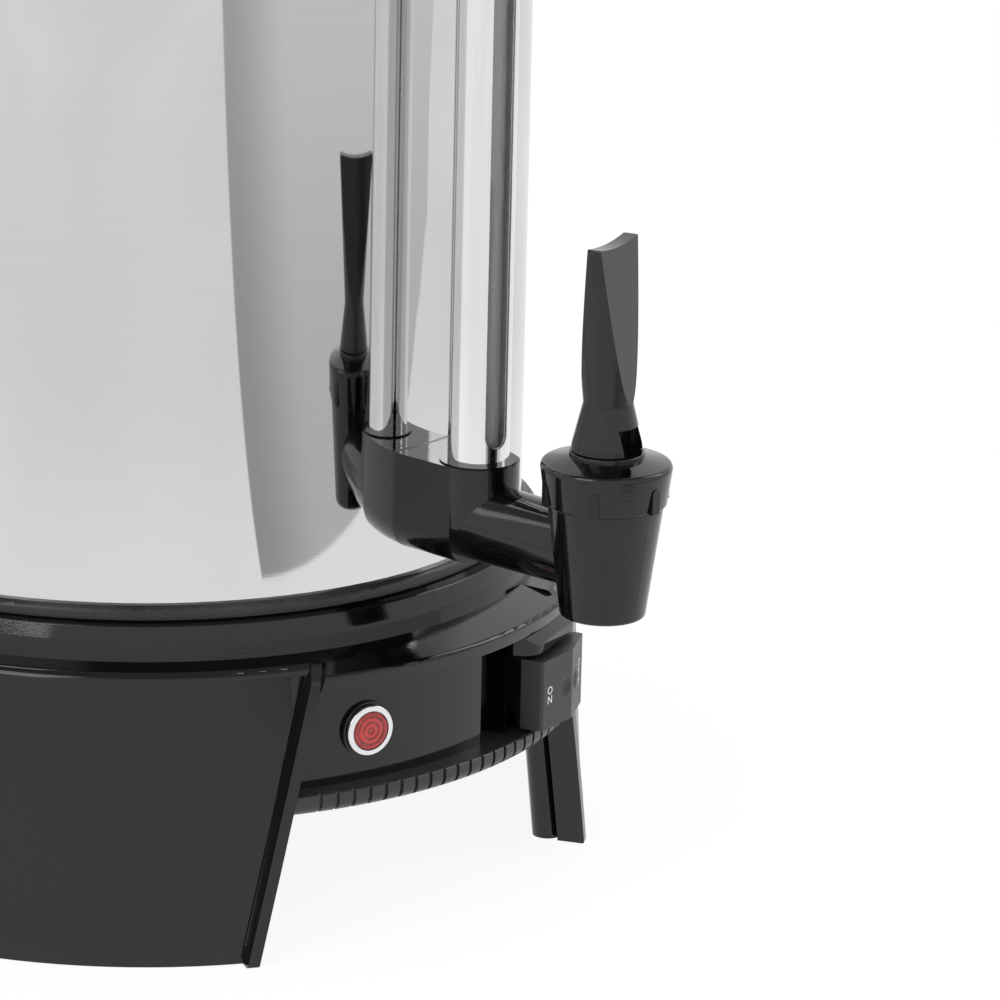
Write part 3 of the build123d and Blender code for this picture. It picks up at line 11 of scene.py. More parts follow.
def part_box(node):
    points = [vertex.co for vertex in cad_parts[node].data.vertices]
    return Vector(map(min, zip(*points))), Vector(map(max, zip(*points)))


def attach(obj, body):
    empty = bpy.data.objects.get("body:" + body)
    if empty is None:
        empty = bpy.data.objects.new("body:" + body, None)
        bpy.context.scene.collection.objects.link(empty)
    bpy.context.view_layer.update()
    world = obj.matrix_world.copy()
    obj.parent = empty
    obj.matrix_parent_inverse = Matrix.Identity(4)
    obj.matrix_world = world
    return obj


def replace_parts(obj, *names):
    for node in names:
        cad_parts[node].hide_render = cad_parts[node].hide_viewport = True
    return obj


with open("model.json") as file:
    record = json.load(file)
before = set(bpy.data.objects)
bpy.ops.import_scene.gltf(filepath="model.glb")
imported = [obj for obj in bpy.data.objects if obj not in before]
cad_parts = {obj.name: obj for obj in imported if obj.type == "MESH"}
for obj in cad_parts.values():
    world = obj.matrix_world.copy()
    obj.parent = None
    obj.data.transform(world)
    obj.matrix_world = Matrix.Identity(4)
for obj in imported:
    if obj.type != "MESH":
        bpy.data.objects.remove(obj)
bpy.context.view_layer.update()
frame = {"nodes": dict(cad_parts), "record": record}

MM = 0.001
nodes = frame["nodes"]

# ---------------------------------------------------------------- sizes shared with the part
LENS_RADIUS = 6.15 * MM
LENS_RING_PITCH = 1.75 * MM
BEZEL_THICKNESS = 1.6 * MM
GUARD_INNER = 8.25 * MM
SWITCH_AZIMUTH = 18.7
SWITCH_RIDGE = 148.3 * MM
SWITCH_HALF = 16.0 * MM
SWITCH_DROP = 3.2 * MM
LEG_EDGE_AT_FLOOR = 30.6
LEG_EDGE_LEAN = 98.5
STRIP_ANGLE = 1.45
SATIN_MARGIN = 1.2
SATIN_DROP = 3.5 * MM
SKIN = 0.2 * MM
BAND_FOOT = 92.0 * MM
TANK_INNER = 119.0 * MM
TANK_FLOOR = 113.0 * MM


def around(azimuth, radius, height):
    """Point at an azimuth in degrees, zero at the faucet and positive towards +X."""
    a = radians(azimuth)
    return Vector((radius * sin(a), -radius * cos(a), height))


def outward_frame(azimuth, radius, height):
    """Matrix whose local X runs round the urn, local Y runs up and local Z points outward."""
    a = radians(azimuth)
    turn = Matrix(((cos(a), 0, sin(a)), (sin(a), 0, -cos(a)), (0, 1, 0))).to_4x4()
    return Matrix.Translation(around(azimuth, radius, height)) @ turn


def centre_of(name):
    """Middle of a node's box."""
    low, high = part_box(name)
    return (Vector(low) + Vector(high)) / 2


lamp_centre = centre_of("lamp_bezel")
LAMP_AZIMUTH = degrees(atan2(lamp_centre.x, -lamp_centre.y))
LAMP_HEIGHT = lamp_centre.z
LENS_FOOT = lamp_centre.xy.length - BEZEL_THICKNESS / 2
LENS_FRONT = LENS_FOOT + BEZEL_THICKNESS
GAUGE_AXIS = centre_of("gauge_guard")
ROCKER_MIDDLE = centre_of("switch_rocker").z


# ---------------------------------------------------------------- node helpers
def add_node(tree, kind, **settings):
    node = tree.nodes.new(kind)
    for key, value in settings.items():
        setattr(node, key, value)
    return node


def feed(tree, source, target):
    tree.links.new(source, target)


def set_input(tree, socket, value):
    """Links a socket, or sets a plain value."""
    if isinstance(value, bpy.types.NodeSocket):
        feed(tree, value, socket)
    else:
        socket.default_value = value


def maths(tree, operation, first, second=0.0, third=0.0, clamp=False):
    node = add_node(tree, "ShaderNodeMath", operation=operation, use_clamp=clamp)
    for socket, value in zip(node.inputs, (first, second, third)):
        set_input(tree, socket, value)
    return node.outputs[0]


def noise(tree, vector, scale, detail=2.0, roughness=0.5, distortion=0.0):
    node = add_node(tree, "ShaderNodeTexNoise")
    feed(tree, vector, node.inputs["Vector"])
    set_input(tree, node.inputs["Scale"], scale)
    node.inputs["Detail"].default_value = detail
    node.inputs["Roughness"].default_value = roughness
    node.inputs["Distortion"].default_value = distortion
    return node.outputs["Fac"]


def remap(tree, value, low, high, to_low=0.0, to_high=1.0):
    node = add_node(tree, "ShaderNodeMapRange", interpolation_type="SMOOTHSTEP")
    for key, item in (("Value", value), ("From Min", low), ("From Max", high)):
        set_input(tree, node.inputs[key], item)
    set_input(tree, node.inputs["To Min"], to_low)
    set_input(tree, node.inputs["To Max"], to_high)
    return node.outputs["Result"]


def mix_colour(tree, factor, first, second):
    node = add_node(tree, "ShaderNodeMix", data_type="RGBA")
    set_input(tree, node.inputs[0], factor)
    set_input(tree, node.inputs[6], first)
    set_input(tree, node.inputs[7], second)
    return node.outputs[2]


def stretched(tree, vector, scale):
    node = add_node(tree, "ShaderNodeMapping")
    feed(tree, vector, node.inputs["Vector"])
    node.inputs["Scale"].default_value = scale
    return node.outputs["Vector"]


def new_group(name, inputs, outputs):
    """Node group with its input and output nodes; inputs and outputs are (name, kind, default)."""
    tree = bpy.data.node_groups.new(name, "ShaderNodeTree")
    for direction, sockets in (("INPUT", inputs), ("OUTPUT", outputs)):
        for label, kind, default in sockets:
            socket = tree.interface.new_socket(label, in_out=direction, socket_type=f"NodeSocket{kind}")
            if default is not None:
                socket.default_value = default
    return tree, add_node(tree, "NodeGroupInput"), add_node(tree, "NodeGroupOutput")


# ---------------------------------------------------------------- shared effects
def make_moulded_skin():
    """Faint waviness and fine grain of moulded plastic, as a height and a roughness mask."""
    tree, given, result = new_group(
        "moulded_skin",
        [("Vector", "Vector", None), ("Wave", "Float", 0.3), ("Grain", "Float", 0.4)],
        [("Height", "Float", None), ("Unevenness", "Float", None)],
    )
    place = given.outputs["Vector"]
    wave = noise(tree, place, 22.0, 1.0)
    grain = noise(tree, place, 1400.0, 2.0, 0.6)
    cloud = noise(tree, place, 60.0, 4.0, 0.6)
    wave_part = maths(tree, "MULTIPLY", wave, given.outputs["Wave"])
    grain_part = maths(tree, "MULTIPLY", grain, given.outputs["Grain"])
    feed(tree, maths(tree, "ADD", wave_part, grain_part), result.inputs["Height"])
    feed(tree, remap(tree, cloud, 0.3, 0.75), result.inputs["Unevenness"])
    return tree


def make_handling_marks():
    """Soft wiped smears and small dust specks that a handled gloss surface carries."""
    tree, given, result = new_group(
        "handling_marks",
        [("Vector", "Vector", None), ("Size", "Float", 1.0)],
        [("Smear", "Float", None), ("Dust", "Float", None)],
    )
    place = add_node(tree, "ShaderNodeVectorMath", operation="SCALE")
    feed(tree, given.outputs["Vector"], place.inputs[0])
    feed(tree, given.outputs["Size"], place.inputs["Scale"])
    smear = noise(tree, stretched(tree, place.outputs[0], (1.0, 1.0, 0.35)), 45.0, 5.0, 0.62, 1.2)
    specks = add_node(tree, "ShaderNodeTexVoronoi", feature="DISTANCE_TO_EDGE")
    specks.feature = "F1"
    feed(tree, place.outputs[0], specks.inputs["Vector"])
    specks.inputs["Scale"].default_value = 420.0
    near = remap(tree, specks.outputs["Distance"], 0.0, 0.16, 1.0, 0.0)
    patch = remap(tree, noise(tree, place.outputs[0], 30.0, 3.0), 0.52, 0.68)
    feed(tree, remap(tree, smear, 0.48, 0.78), result.inputs["Smear"])
    feed(tree, maths(tree, "MULTIPLY", near, patch), result.inputs["Dust"])
    return tree


def make_worn_edge():
    """Mask of narrow convex edges, where handling polishes plastic or thins plating."""
    tree, given, result = new_group(
        "worn_edge",
        [("Vector", "Vector", None), ("Width", "Float", 0.0006)],
        [("Edge", "Float", None)],
    )
    rounded = add_node(tree, "ShaderNodeBevel", samples=4)
    feed(tree, given.outputs["Width"], rounded.inputs["Radius"])
    flat = add_node(tree, "ShaderNodeNewGeometry")
    likeness = add_node(tree, "ShaderNodeVectorMath", operation="DOT_PRODUCT")
    feed(tree, rounded.outputs["Normal"], likeness.inputs[0])
    feed(tree, flat.outputs["Normal"], likeness.inputs[1])
    turned = remap(tree, likeness.outputs["Value"], 0.93, 0.995, 1.0, 0.0)
    broken = remap(tree, noise(tree, given.outputs["Vector"], 260.0, 3.0, 0.6), 0.35, 0.6)
    feed(tree, maths(tree, "MULTIPLY", turned, broken), result.inputs["Edge"])
    return tree


def make_urn_polar():
    """Angle round the urn in degrees, folded so that each bay's middle is zero, and the height."""
    tree, given, result = new_group(
        "urn_polar",
        [("Vector", "Vector", None)],
        [("Folded Angle", "Float", None), ("Height", "Float", None)],
    )
    parts = add_node(tree, "ShaderNodeSeparateXYZ")
    feed(tree, given.outputs["Vector"], parts.inputs[0])
    depth = maths(tree, "MULTIPLY", parts.outputs["Y"], -1.0)
    angle = maths(tree, "DEGREES", maths(tree, "ARCTAN2", parts.outputs["X"], depth))
    shifted = maths(tree, "ADD", angle, 60.0 + 360.0)
    folded = maths(tree, "SUBTRACT", maths(tree, "MODULO", shifted, 120.0), 60.0)
    feed(tree, maths(tree, "ABSOLUTE", folded), result.inputs["Folded Angle"])
    feed(tree, parts.outputs["Z"], result.inputs["Height"])
    return tree


moulded_skin = make_moulded_skin()
handling_marks = make_handling_marks()
worn_edge = make_worn_edge()
urn_polar = make_urn_polar()


# ---------------------------------------------------------------- materials
class Finish:
    """Material with a Principled shader, Object coordinates and short ways to place effects."""

    def __init__(self, name, **plain):
        self.material = bpy.data.materials.new(name)
        self.material.use_nodes = True
        self.tree = self.material.node_tree
        self.shader = self.tree.nodes["Principled BSDF"]
        coordinates = add_node(self.tree, "ShaderNodeTexCoord")
        self.place = coordinates.outputs["Object"]
        for key, value in plain.items():
            self.shader.inputs[key.replace("_", " ")].default_value = value

    def effect(self, group, **values):
        node = add_node(self.tree, "ShaderNodeGroup", node_tree=group)
        feed(self.tree, self.place, node.inputs["Vector"])
        for key, value in values.items():
            node.inputs[key].default_value = value
        return node.outputs

    def link(self, source, socket):
        feed(self.tree, source, self.shader.inputs[socket])

    def bump(self, height, strength, distance, after=None):
        node = add_node(self.tree, "ShaderNodeBump")
        node.inputs["Strength"].default_value = strength
        node.inputs["Distance"].default_value = distance
        feed(self.tree, height, node.inputs["Height"])
        if after is not None:
            feed(self.tree, after, node.inputs["Normal"])
        self.link(node.outputs["Normal"], "Normal")
        return node.outputs["Normal"]


def plastic(name, colour, lighter, roughness, rougher, grain=0.35, wave=0.3, dust=0.05, ior=1.5):
    """Moulded plastic: fine grain, wiped smears, a little dust and polished edges."""
    finish = Finish(name, IOR=ior)
    skin = finish.effect(moulded_skin, Wave=wave, Grain=grain)
    marks = finish.effect(handling_marks)
    edges = finish.effect(worn_edge)
    tree = finish.tree
    dusty = maths(tree, "MULTIPLY", marks["Dust"], dust)
    tone = maths(tree, "MAXIMUM", maths(tree, "MULTIPLY", edges["Edge"], 0.2), dusty)
    finish.link(mix_colour(tree, tone, (*colour, 1.0), (*lighter, 1.0)), "Base Color")
    uneven = maths(tree, "MULTIPLY", skin["Unevenness"], 0.35)
    worn = maths(tree, "MAXIMUM", maths(tree, "MULTIPLY", marks["Smear"], 0.65), dusty)
    finish.link(remap(tree, maths(tree, "ADD", uneven, worn), 0.0, 1.0, roughness, rougher), "Roughness")
    finish.bump(skin["Height"], 0.25, 0.0002)
    return finish


def base_plastic():
    """The base moulding: high gloss, with the legs' outer panels in a satin finish."""
    finish = plastic("base_moulding_gloss", *GLOSS, 0.045, 0.13)
    tree = finish.tree
    polar = finish.effect(urn_polar)
    at_floor = LEG_EDGE_AT_FLOOR + STRIP_ANGLE + SATIN_MARGIN
    edge_angle = maths(tree, "MULTIPLY_ADD", polar["Height"], -LEG_EDGE_LEAN, at_floor)
    past_edge = maths(tree, "GREATER_THAN", polar["Folded Angle"], edge_angle)
    under_band = maths(tree, "LESS_THAN", polar["Height"], BAND_FOOT - SATIN_DROP)
    on_leg = maths(tree, "MULTIPLY", past_edge, under_band)
    gloss = finish.shader.inputs["Roughness"].links[0].from_socket
    satin = maths(tree, "ADD", maths(tree, "MULTIPLY", gloss, 0.5), 0.2)
    finish.link(remap(tree, on_leg, 0.0, 1.0, gloss, satin), "Roughness")
    return finish.material


def polished_steel(name, colour, roughness, rougher, line_strength=0.03, waviness=0.0):
    """Spun and polished stainless sheet: faint polishing lines round the axis and wiped smears."""
    finish = Finish(name, Metallic=1.0)
    tree = finish.tree
    marks = finish.effect(handling_marks, Size=0.5)
    lines = noise(tree, stretched(tree, finish.place, (3.0, 3.0, 900.0)), 3.0, 3.0, 0.7)
    fine = remap(tree, lines, 0.35, 0.7)
    darker = [c * 0.9 for c in colour]
    shade = mix_colour(tree, maths(tree, "MULTIPLY", fine, 0.25), (*colour, 1.0), (*darker, 1.0))
    finish.link(shade, "Base Color")
    from_lines = maths(tree, "MULTIPLY", fine, 0.35)
    wear = maths(tree, "ADD", from_lines, maths(tree, "MULTIPLY", marks["Smear"], 0.65))
    finish.link(remap(tree, wear, 0.0, 1.0, roughness, rougher), "Roughness")
    after = finish.bump(lines, line_strength, 0.00002)
    if waviness:
        sheet = noise(tree, stretched(tree, finish.place, (1.0, 1.0, 0.25)), 14.0, 1.0)
        finish.bump(sheet, waviness, 0.0006, after)
    return finish


def tank_steel():
    """Mirror outside, and the duller, coffee-washed inner wall of the same tank."""
    finish = polished_steel("tank_polished_steel", STEEL, 0.03, 0.075, waviness=0.03)
    tree = finish.tree
    parts = add_node(tree, "ShaderNodeSeparateXYZ")
    feed(tree, finish.place, parts.inputs[0])
    across = maths(tree, "POWER", parts.outputs["X"], 2.0)
    depth = maths(tree, "POWER", parts.outputs["Y"], 2.0)
    from_axis = maths(tree, "SQRT", maths(tree, "ADD", across, depth))
    within = maths(tree, "LESS_THAN", from_axis, TANK_INNER + SKIN)
    above_floor = maths(tree, "GREATER_THAN", parts.outputs["Z"], TANK_FLOOR - SKIN)
    inside = maths(tree, "MULTIPLY", within, above_floor)
    shine = finish.shader.inputs["Roughness"].links[0].from_socket
    finish.link(remap(tree, inside, 0.0, 1.0, shine, 0.38), "Roughness")
    finish.link(remap(tree, inside, 0.0, 1.0, 1.0, 0.45), "Metallic")
    return finish.material


def plated(name, colour, roughness, rougher):
    """Bright plating with fine wiping marks."""
    finish = Finish(name, Metallic=1.0)
    tree = finish.tree
    marks = finish.effect(handling_marks, Size=1.6)
    edges = finish.effect(worn_edge, Width=0.0004)
    wear = maths(tree, "MAXIMUM", marks["Smear"], edges["Edge"])
    tint = mix_colour(tree, maths(tree, "MULTIPLY", wear, 0.3), (*colour, 1.0), (0.62, 0.62, 0.63, 1.0))
    finish.link(tint, "Base Color")
    finish.link(remap(tree, wear, 0.0, 1.0, roughness, rougher), "Roughness")
    wiping = noise(tree, stretched(tree, finish.place, (900.0, 900.0, 20.0)), 1.0, 2.0)
    finish.bump(wiping, 0.03, 0.00002)
    return finish


def guard_chrome():
    """Chrome outside, and a dull inner wall of the same tube, painted pale grey: painted light standing
    in for the light that bounces round inside the tube.
    """
    finish = plated("guard_chrome", (0.84, 0.84, 0.845), 0.035, 0.09)
    tree = finish.tree
    parts = add_node(tree, "ShaderNodeSeparateXYZ")
    feed(tree, finish.place, parts.inputs[0])
    across = maths(tree, "POWER", maths(tree, "SUBTRACT", parts.outputs["X"], GAUGE_AXIS.x), 2.0)
    depth = maths(tree, "POWER", maths(tree, "SUBTRACT", parts.outputs["Y"], GAUGE_AXIS.y), 2.0)
    from_axis = maths(tree, "SQRT", maths(tree, "ADD", across, depth))
    inside = maths(tree, "LESS_THAN", from_axis, GUARD_INNER + SKIN)
    shine = finish.shader.inputs["Roughness"].links[0].from_socket
    tint = finish.shader.inputs["Base Color"].links[0].from_socket
    # Painted light: the inner wall turns rough, mostly non-metal and pale, standing in for light
    # bouncing round inside the tube.
    finish.link(remap(tree, inside, 0.0, 1.0, shine, 0.4), "Roughness")
    finish.link(remap(tree, inside, 0.0, 1.0, 1.0, 0.1), "Metallic")
    finish.link(mix_colour(tree, inside, tint, (0.86, 0.86, 0.85, 1.0)), "Base Color")
    return finish


def rubber(name, colour, roughness):
    finish = Finish(name)
    skin = finish.effect(moulded_skin, Grain=0.8)
    tree = finish.tree
    paler = tuple(min(1.0, c * 1.6 + 0.01) for c in colour)
    finish.link(mix_colour(tree, skin["Unevenness"], (*colour, 1.0), (*paler, 1.0)), "Base Color")
    finish.link(remap(tree, skin["Unevenness"], 0.0, 1.0, roughness, roughness + 0.15), "Roughness")
    finish.bump(skin["Height"], 0.4, 0.0002)
    return finish.material


def red_lens():
    """Clear red plastic over an unlit lamp, with painted shade: darker in its rings' grooves and towards
    the rim, lighter in the middle.
    """
    finish = Finish("lamp_red_plastic", Roughness=0.1, IOR=1.5, Coat_Weight=0.5, Coat_Roughness=0.05)
    tree = finish.tree
    grain = finish.effect(moulded_skin, Grain=0.2)
    from_middle = add_node(tree, "ShaderNodeVectorMath", operation="DISTANCE")
    feed(tree, finish.place, from_middle.inputs[0])
    from_middle.inputs[1].default_value = around(LAMP_AZIMUTH, LENS_FRONT, LAMP_HEIGHT)
    radius = from_middle.outputs["Value"]
    # Painted shade: the colour darkens in rings that fall on the lens's grooves.
    ring = maths(tree, "COSINE", maths(tree, "MULTIPLY", radius, 2 * pi / LENS_RING_PITCH))
    cloud = noise(tree, finish.place, 420.0, 2.0)
    tone = maths(tree, "MULTIPLY_ADD", ring, 0.22, maths(tree, "MULTIPLY", cloud, 0.8))
    # Painted shade: lighter in the middle, darker towards the rim.
    inner = remap(tree, radius, 0.55 * LENS_RADIUS, LENS_RADIUS, 0.18, -0.22)
    shade = remap(tree, maths(tree, "ADD", tone, inner), 0.1, 0.9)
    red = mix_colour(tree, shade, (0.20, 0.002, 0.003, 1.0), (0.66, 0.030, 0.026, 1.0))
    finish.link(red, "Base Color")
    finish.bump(grain["Height"], 0.15, 0.0002)
    return finish.material


def clear_glass():
    """Thin clear gauge tube."""
    finish = Finish("gauge_glass_clear", Roughness=0.02, IOR=1.47, Transmission_Weight=0.8)
    finish.shader.inputs["Base Color"].default_value = (0.90, 0.92, 0.92, 1.0)
    marks = finish.effect(handling_marks, Size=1.3)
    finish.link(remap(finish.tree, marks["Smear"], 0.0, 1.0, 0.02, 0.09), "Roughness")
    return finish.material


def letter_paint():
    finish = Finish("letter_white_ink", IOR=1.45)
    tree = finish.tree
    worn = remap(tree, noise(tree, finish.place, 2600.0, 3.0, 0.6), 0.35, 0.7)
    finish.link(mix_colour(tree, worn, (0.86, 0.86, 0.85, 1.0), (0.72, 0.72, 0.71, 1.0)), "Base Color")
    finish.link(remap(tree, worn, 0.0, 1.0, 0.35, 0.5), "Roughness")
    return finish.material


GLOSS = ((0.003, 0.003, 0.0032), (0.02, 0.02, 0.021))
SATIN = ((0.028, 0.028, 0.029), (0.09, 0.09, 0.092))
PHENOLIC = ((0.014, 0.013, 0.013), (0.05, 0.048, 0.046))
SEMI_GLOSS = ((0.006, 0.006, 0.0065), (0.03, 0.03, 0.031))
ROCKER_GREY = ((0.026, 0.026, 0.027), (0.09, 0.09, 0.092))
ACETAL = ((0.72, 0.71, 0.67), (0.8, 0.79, 0.76))
STEEL = (0.69, 0.69, 0.692)
ALUMINIUM = (0.74, 0.75, 0.76)
SHEATH = (0.20, 0.19, 0.19)

finishes = {
    "black_moulding": plastic("faucet_gloss", *GLOSS, 0.035, 0.11).material,
    "cover_plastic": plastic("cover_satin", *SATIN, 0.3, 0.42).material,
    "inlet_plastic": plastic("inlet_phenolic", *PHENOLIC, 0.3, 0.45).material,
    "handle_plastic": plastic("handle_semi_gloss", *SEMI_GLOSS, 0.2, 0.32).material,
    "switch_plastic": plastic("rocker_matte", *ROCKER_GREY, 0.38, 0.5, grain=0.8).material,
    "stem_plastic": plastic("stem_acetal", *ACETAL, 0.35, 0.5).material,
    "bezel": plated("bezel_plating", (0.80, 0.80, 0.81), 0.16, 0.28).material,
    "lens": red_lens(),
    "seal": rubber("seal_rubber", (0.012, 0.012, 0.013), 0.3),
    "silicone": rubber("silicone_seat", (0.55, 0.54, 0.50), 0.35),
    "steel": polished_steel("polished_steel", STEEL, 0.03, 0.075, waviness=0.03).material,
    "basket_metal": polished_steel("spun_aluminium", ALUMINIUM, 0.22, 0.4, line_strength=0.2).material,
    "chrome": guard_chrome().material,
    "glass": clear_glass(),
    "zinc": plated("zinc_plating", (0.62, 0.62, 0.64), 0.25, 0.42).material,
    "heater_metal": polished_steel("heater_sheath", SHEATH, 0.35, 0.55, line_strength=0.1).material,
    "brass": plated("contact_plating", (0.72, 0.66, 0.52), 0.2, 0.35).material,
}


def dress(name, material):
    slots = nodes[name].data.materials
    if not slots:
        slots.append(material)
    for index in range(len(slots)):
        slots[index] = material


for part in frame["record"]["subparts"]:
    dress(part["node"], finishes[part["material_slot"]])
dress("base_shell", base_plastic())
dress("tank", tank_steel())


# ---------------------------------------------------------------- pieces
def mesh_object(name, shape, material, body, smooth=True):
    """Object at the origin from a bmesh, riding on a body."""
    mesh = bpy.data.meshes.new(name)
    shape.to_mesh(mesh)
    shape.free()
    for face in mesh.polygons:
        face.use_smooth = smooth
    piece = bpy.data.objects.new(name, mesh)
    bpy.context.scene.collection.objects.link(piece)
    mesh.materials.append(material)
    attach(piece, body)
    return piece


def turned(profile, steps):
    """Closed turned solid from a profile of (radius, height) that starts and ends on its axis."""
    shape = bmesh.new()
    points = [shape.verts.new((radius, 0.0, height)) for radius, height in profile]
    edges = [shape.edges.new(pair) for pair in zip(points, points[1:])]
    whole = points + edges
    bmesh.ops.spin(
        shape, geom=whole, cent=(0, 0, 0), axis=(0, 0, 1), angle=2 * pi, steps=steps, use_merge=True
    )
    bmesh.ops.remove_doubles(shape, verts=shape.verts, dist=1e-7)
    bmesh.ops.recalc_face_normals(shape, faces=shape.faces)
    return shape


def lamp_lens():
    """Ringed lens with a small dome in its middle."""
    front = LENS_FRONT - LENS_FOOT
    groove = 0.35 * MM
    stub_radius = 4.6 * MM
    stub_depth = 6.0 * MM
    profile = [(0.0, -stub_depth), (stub_radius, -stub_depth), (stub_radius, 0.0), (LENS_RADIUS, 0.0)]
    profile += [(LENS_RADIUS, front - 0.5 * MM), (LENS_RADIUS - 0.25 * MM, front - 0.1 * MM)]
    ring_width = 1.15 * MM
    outer = LENS_RADIUS - 0.45 * MM
    for ring in range(3):
        start = outer - ring * LENS_RING_PITCH
        crown = front + 0.1 * MM
        profile += [(start, front), (start - 0.25 * ring_width, crown)]
        profile += [(start - 0.75 * ring_width, crown)]
        profile += [(start - ring_width, front), (start - ring_width - 0.2 * MM, front - groove)]
    profile += [(0.5 * MM, front - 0.1 * MM), (0.0, front)]
    shape = turned(profile, 48)
    shape.transform(outward_frame(LAMP_AZIMUTH, LENS_FOOT, LAMP_HEIGHT))
    return mesh_object("lamp_lens_ringed", shape, finishes["lens"], "urn")


def switch_word(name, word, side, middle, height, size):
    """Upright letters, one above the other, printed on one slope of the rocker."""
    curve = bpy.data.curves.new(name, "FONT")
    curve.body = "\n".join(word)
    curve.size = size
    curve.space_line = 0.86
    curve.offset = 0.035 * MM
    curve.align_x = "CENTER"
    curve.align_y = "CENTER"
    curve.extrude = 0.04 * MM
    flat = bpy.data.objects.new(name + "_text", curve)
    bpy.context.scene.collection.objects.link(flat)
    bpy.context.view_layer.update()
    evaluated = flat.evaluated_get(bpy.context.evaluated_depsgraph_get())
    mesh = bpy.data.meshes.new_from_object(evaluated)
    bpy.data.objects.remove(flat)
    shape = bmesh.new()
    shape.from_mesh(mesh)
    slope = atan2(SWITCH_DROP, SWITCH_HALF)
    place = outward_frame(SWITCH_AZIMUTH, SWITCH_RIDGE, height)
    place = place @ Matrix.Rotation(side * slope, 4, "Y")
    place = place @ Matrix.Translation((side * middle, 0, 0.02 * MM))
    shape.transform(place)
    return mesh_object(name, shape, white_ink, "rocker", smooth=False)


white_ink = letter_paint()
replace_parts(lamp_lens(), "lamp_lens")
switch_word("letters_on", "ON", -1, 12.2 * MM, ROCKER_MIDDLE - 0.5 * MM, 3.5 * MM)
switch_word("letters_off", "OFF", 1, 10.4 * MM, ROCKER_MIDDLE + 0.6 * MM, 3.5 * MM)


# ---------------------------------------------------------------- studio
FLOOR_GLOW = 0.88
FLOOR_WHITE = 1.04
SHADE_NEAR_LEFT = (-0.110, -0.451)
SHADE_NEAR_RIGHT = (0.369, -0.555)
SHADE_FAR_RIGHT = (2.27, -1.82)
SHADE_FAR_LEFT = (-1.15, -2.53)
GAP_NEAR_WIDTH = 0.475
GAP_SPREAD = 0.98


def flat_shape(name, shape, material):
    """Stage piece from a bmesh: floor, card or ceiling."""
    mesh = bpy.data.meshes.new(name)
    shape.to_mesh(mesh)
    shape.free()
    piece = bpy.data.objects.new(name, mesh)
    bpy.context.scene.collection.objects.link(piece)
    mesh.materials.append(material)
    return piece


def seen_rays(tree):
    """Camera, glossy and transmission rays, as one factor, and the glossy rays alone."""
    rays = add_node(tree, "ShaderNodeLightPath").outputs
    seen = maths(tree, "MAXIMUM", rays["Is Camera Ray"], rays["Is Glossy Ray"])
    return maths(tree, "MAXIMUM", seen, rays["Is Transmission Ray"]), rays["Is Glossy Ray"]


def floor_paint():
    """White to the eye with a faint shadow; in reflections alone it greys a little away from the urn and
    ripples softly, a painted reflection.
    """
    material = bpy.data.materials.new("floor_white")
    material.use_nodes = True
    tree = material.node_tree
    shader = tree.nodes["Principled BSDF"]
    shader.inputs["Base Color"].default_value = (0.93, 0.93, 0.93, 1.0)
    shader.inputs["Roughness"].default_value = 0.9
    shader.inputs["Specular IOR Level"].default_value = 0.0
    seen, glossy = seen_rays(tree)
    place = add_node(tree, "ShaderNodeTexCoord").outputs["Object"]
    reach = add_node(tree, "ShaderNodeVectorMath", operation="LENGTH")
    feed(tree, place, reach.inputs[0])
    # Painted reflection: for glossy rays the floor greys away from the urn and ripples softly, while
    # camera rays see it evenly white.
    reflection_ripple = noise(tree, stretched(tree, place, (1.6, 1.6, 1.0)), 1.0, 2.0, 0.4, 0.6)
    away = remap(tree, reach.outputs["Value"], 0.42, 0.75, 1.0, 0.885)
    tone = maths(tree, "MULTIPLY", away, remap(tree, reflection_ripple, 0.3, 0.7, 0.955, 1.03))
    glow = add_node(tree, "ShaderNodeEmission")
    feed(tree, remap(tree, glossy, 0.0, 1.0, FLOOR_WHITE, tone), glow.inputs["Strength"])
    blend = add_node(tree, "ShaderNodeMixShader")
    feed(tree, maths(tree, "MULTIPLY", seen, FLOOR_GLOW), blend.inputs[0])
    feed(tree, shader.outputs[0], blend.inputs[1])
    feed(tree, glow.outputs[0], blend.inputs[2])
    feed(tree, blend.outputs[0], tree.nodes["Material Output"].inputs["Surface"])
    return material


def make_floor():
    shape = bmesh.new()
    bmesh.ops.create_grid(shape, x_segments=8, y_segments=8, size=6.0)
    flat_shape("floor", shape, floor_paint())


def gap_side_shade(tree, place):
    """Painted shade in the reflected gap: a darker strip along its left side, 0.64 on the edge, 1 from a
    third of the width on.
    """
    corner = Vector((*SHADE_NEAR_LEFT, 0.0))
    along = (Vector((*SHADE_FAR_LEFT, 0.0)) - corner).normalized()
    across = Vector((-along.y, along.x, 0.0))
    reach = []
    for direction in (along, across):
        product = add_node(tree, "ShaderNodeVectorMath", operation="DOT_PRODUCT")
        feed(tree, place, product.inputs[0])
        product.inputs[1].default_value = direction
        reach.append(maths(tree, "SUBTRACT", product.outputs["Value"], direction.dot(corner)))
    width = maths(tree, "MULTIPLY_ADD", reach[0], GAP_SPREAD, GAP_NEAR_WIDTH)
    return remap(tree, maths(tree, "DIVIDE", reach[1], width), 0.0, 0.36, 0.64, 1.0)


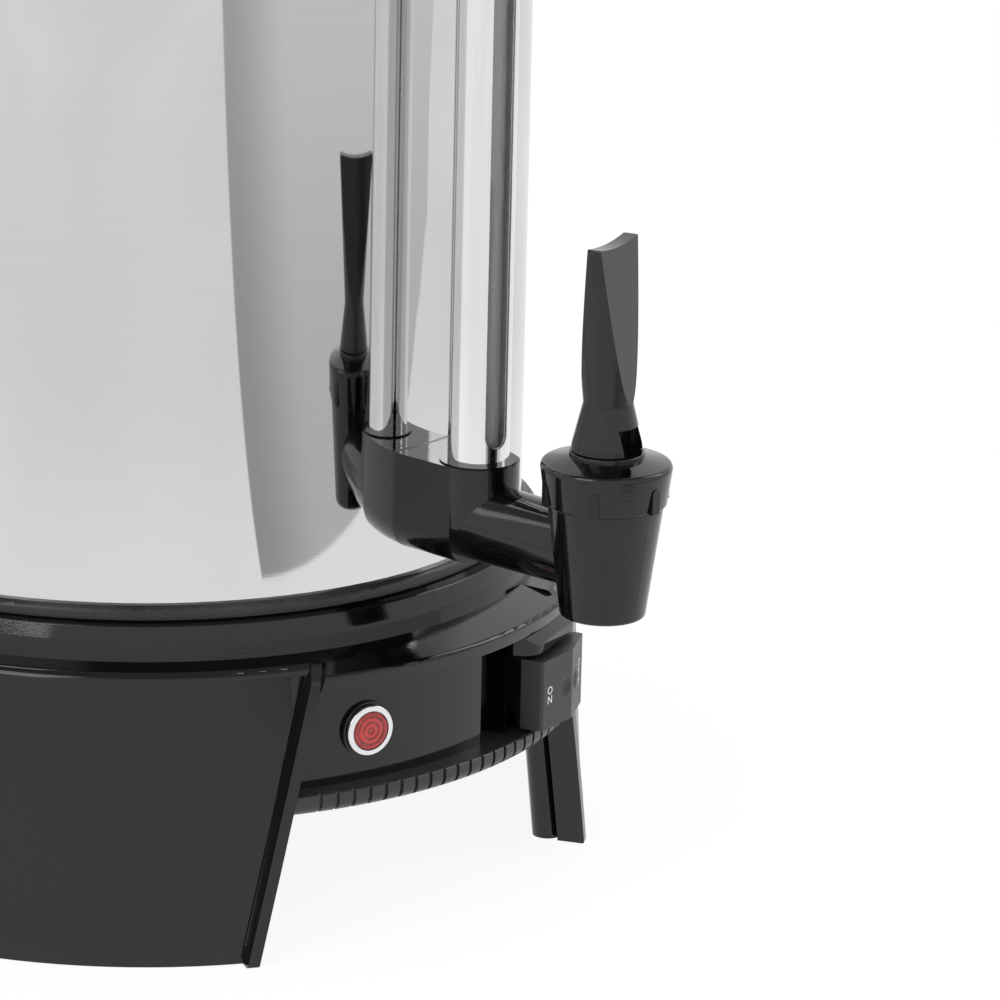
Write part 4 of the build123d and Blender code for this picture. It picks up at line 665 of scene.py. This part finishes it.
def painted_reflection_card(name, low, high, start, end, side_shade=None):
    """Grey card whose tone rises with the distance from the urn."""
    material = bpy.data.materials.new(name)
    material.use_nodes = True
    tree = material.node_tree
    tree.nodes.remove(tree.nodes["Principled BSDF"])
    reach = add_node(tree, "ShaderNodeVectorMath", operation="LENGTH")
    place = add_node(tree, "ShaderNodeTexCoord").outputs["Object"]
    feed(tree, place, reach.inputs[0])
    glow = add_node(tree, "ShaderNodeEmission")
    tone = remap(tree, reach.outputs["Value"], start, end, low, high)
    if side_shade is not None:
        tone = maths(tree, "MULTIPLY", tone, side_shade(tree, place))
    feed(tree, tone, glow.inputs["Strength"])
    feed(tree, glow.outputs[0], tree.nodes["Material Output"].inputs["Surface"])
    return material


def mirrored_only(piece):
    """Shows in reflections alone and lights nothing."""
    piece.visible_camera = False
    piece.visible_diffuse = False
    piece.visible_shadow = False
    piece.visible_transmission = False


def make_painted_reflections():
    """Painted reflections, which only the polished surfaces mirror: a grey sheet on the floor for the
    gap in front of the table, and a dim ceiling.
    """
    shape = bmesh.new()
    corners = [SHADE_NEAR_LEFT, SHADE_NEAR_RIGHT, SHADE_FAR_RIGHT, SHADE_FAR_LEFT]
    # Painted reflection: a grey sheet just above the white floor, seen only by glossy rays.
    shape.faces.new([shape.verts.new((x, y, 1.0 * MM)) for x, y in corners])
    grey = painted_reflection_card("gap_grey_painted_reflection", 0.575, 0.72, 0.5, 1.6, gap_side_shade)
    mirrored_only(flat_shape("front_gap_painted_reflection", shape, grey))
    shape = bmesh.new()
    # Painted reflection: a dim ceiling disc, seen only by glossy rays.
    bmesh.ops.create_circle(shape, cap_ends=True, segments=48, radius=2.2)
    bmesh.ops.translate(shape, verts=shape.verts, vec=(0, 0, 1.9))
    mirrored_only(flat_shape("ceiling", shape, painted_reflection_card("ceiling_grey_painted_reflection", 0.35, 0.7, 1.9, 2.9)))


def make_world():
    world = bpy.data.worlds.new("studio")
    bpy.context.scene.world = world
    world.use_nodes = True
    tree = world.node_tree
    background = tree.nodes["Background"]
    background.inputs["Color"].default_value = (1.0, 1.0, 1.0, 1.0)
    feed(tree, remap(tree, seen_rays(tree)[0], 0.0, 1.0, 0.75, 1.0), background.inputs["Strength"])


def soft_lamp(name, azimuth, distance, height, size, power, aim_height=0.15):
    """Square area lamp that faces the urn."""
    data = bpy.data.lights.new(name, "AREA")
    data.shape = "RECTANGLE"
    data.size, data.size_y = size
    data.energy = power
    lamp = bpy.data.objects.new(name, data)
    bpy.context.scene.collection.objects.link(lamp)
    lamp.location = around(azimuth, distance, height)
    facing = Vector((0, 0, aim_height)) - lamp.location
    lamp.rotation_euler = facing.to_track_quat("-Z", "Y").to_euler()
    return lamp


def make_camera():
    data = bpy.data.cameras.new("camera")
    data.sensor_width = 36.0
    data.lens = 168.4
    data.shift_x = 0.3543
    data.shift_y = -0.05
    camera = bpy.data.objects.new("camera", data)
    camera.location = (-0.9971, -1.0325, 0.5409)
    camera.rotation_euler = Euler((radians(90.0 - 16.36), 0.0, radians(-44.0)))
    bpy.context.scene.collection.objects.link(camera)
    bpy.context.scene.camera = camera


make_floor()
make_painted_reflections()
make_world()
soft_lamp("key", -85.0, 1.5, 1.3, (0.9, 1.2), 9.0)
soft_lamp("fill", 55.0, 1.6, 1.2, (0.5, 1.3), 6.0)
make_camera()
bpy.context.scene.view_settings.view_transform = "Standard"
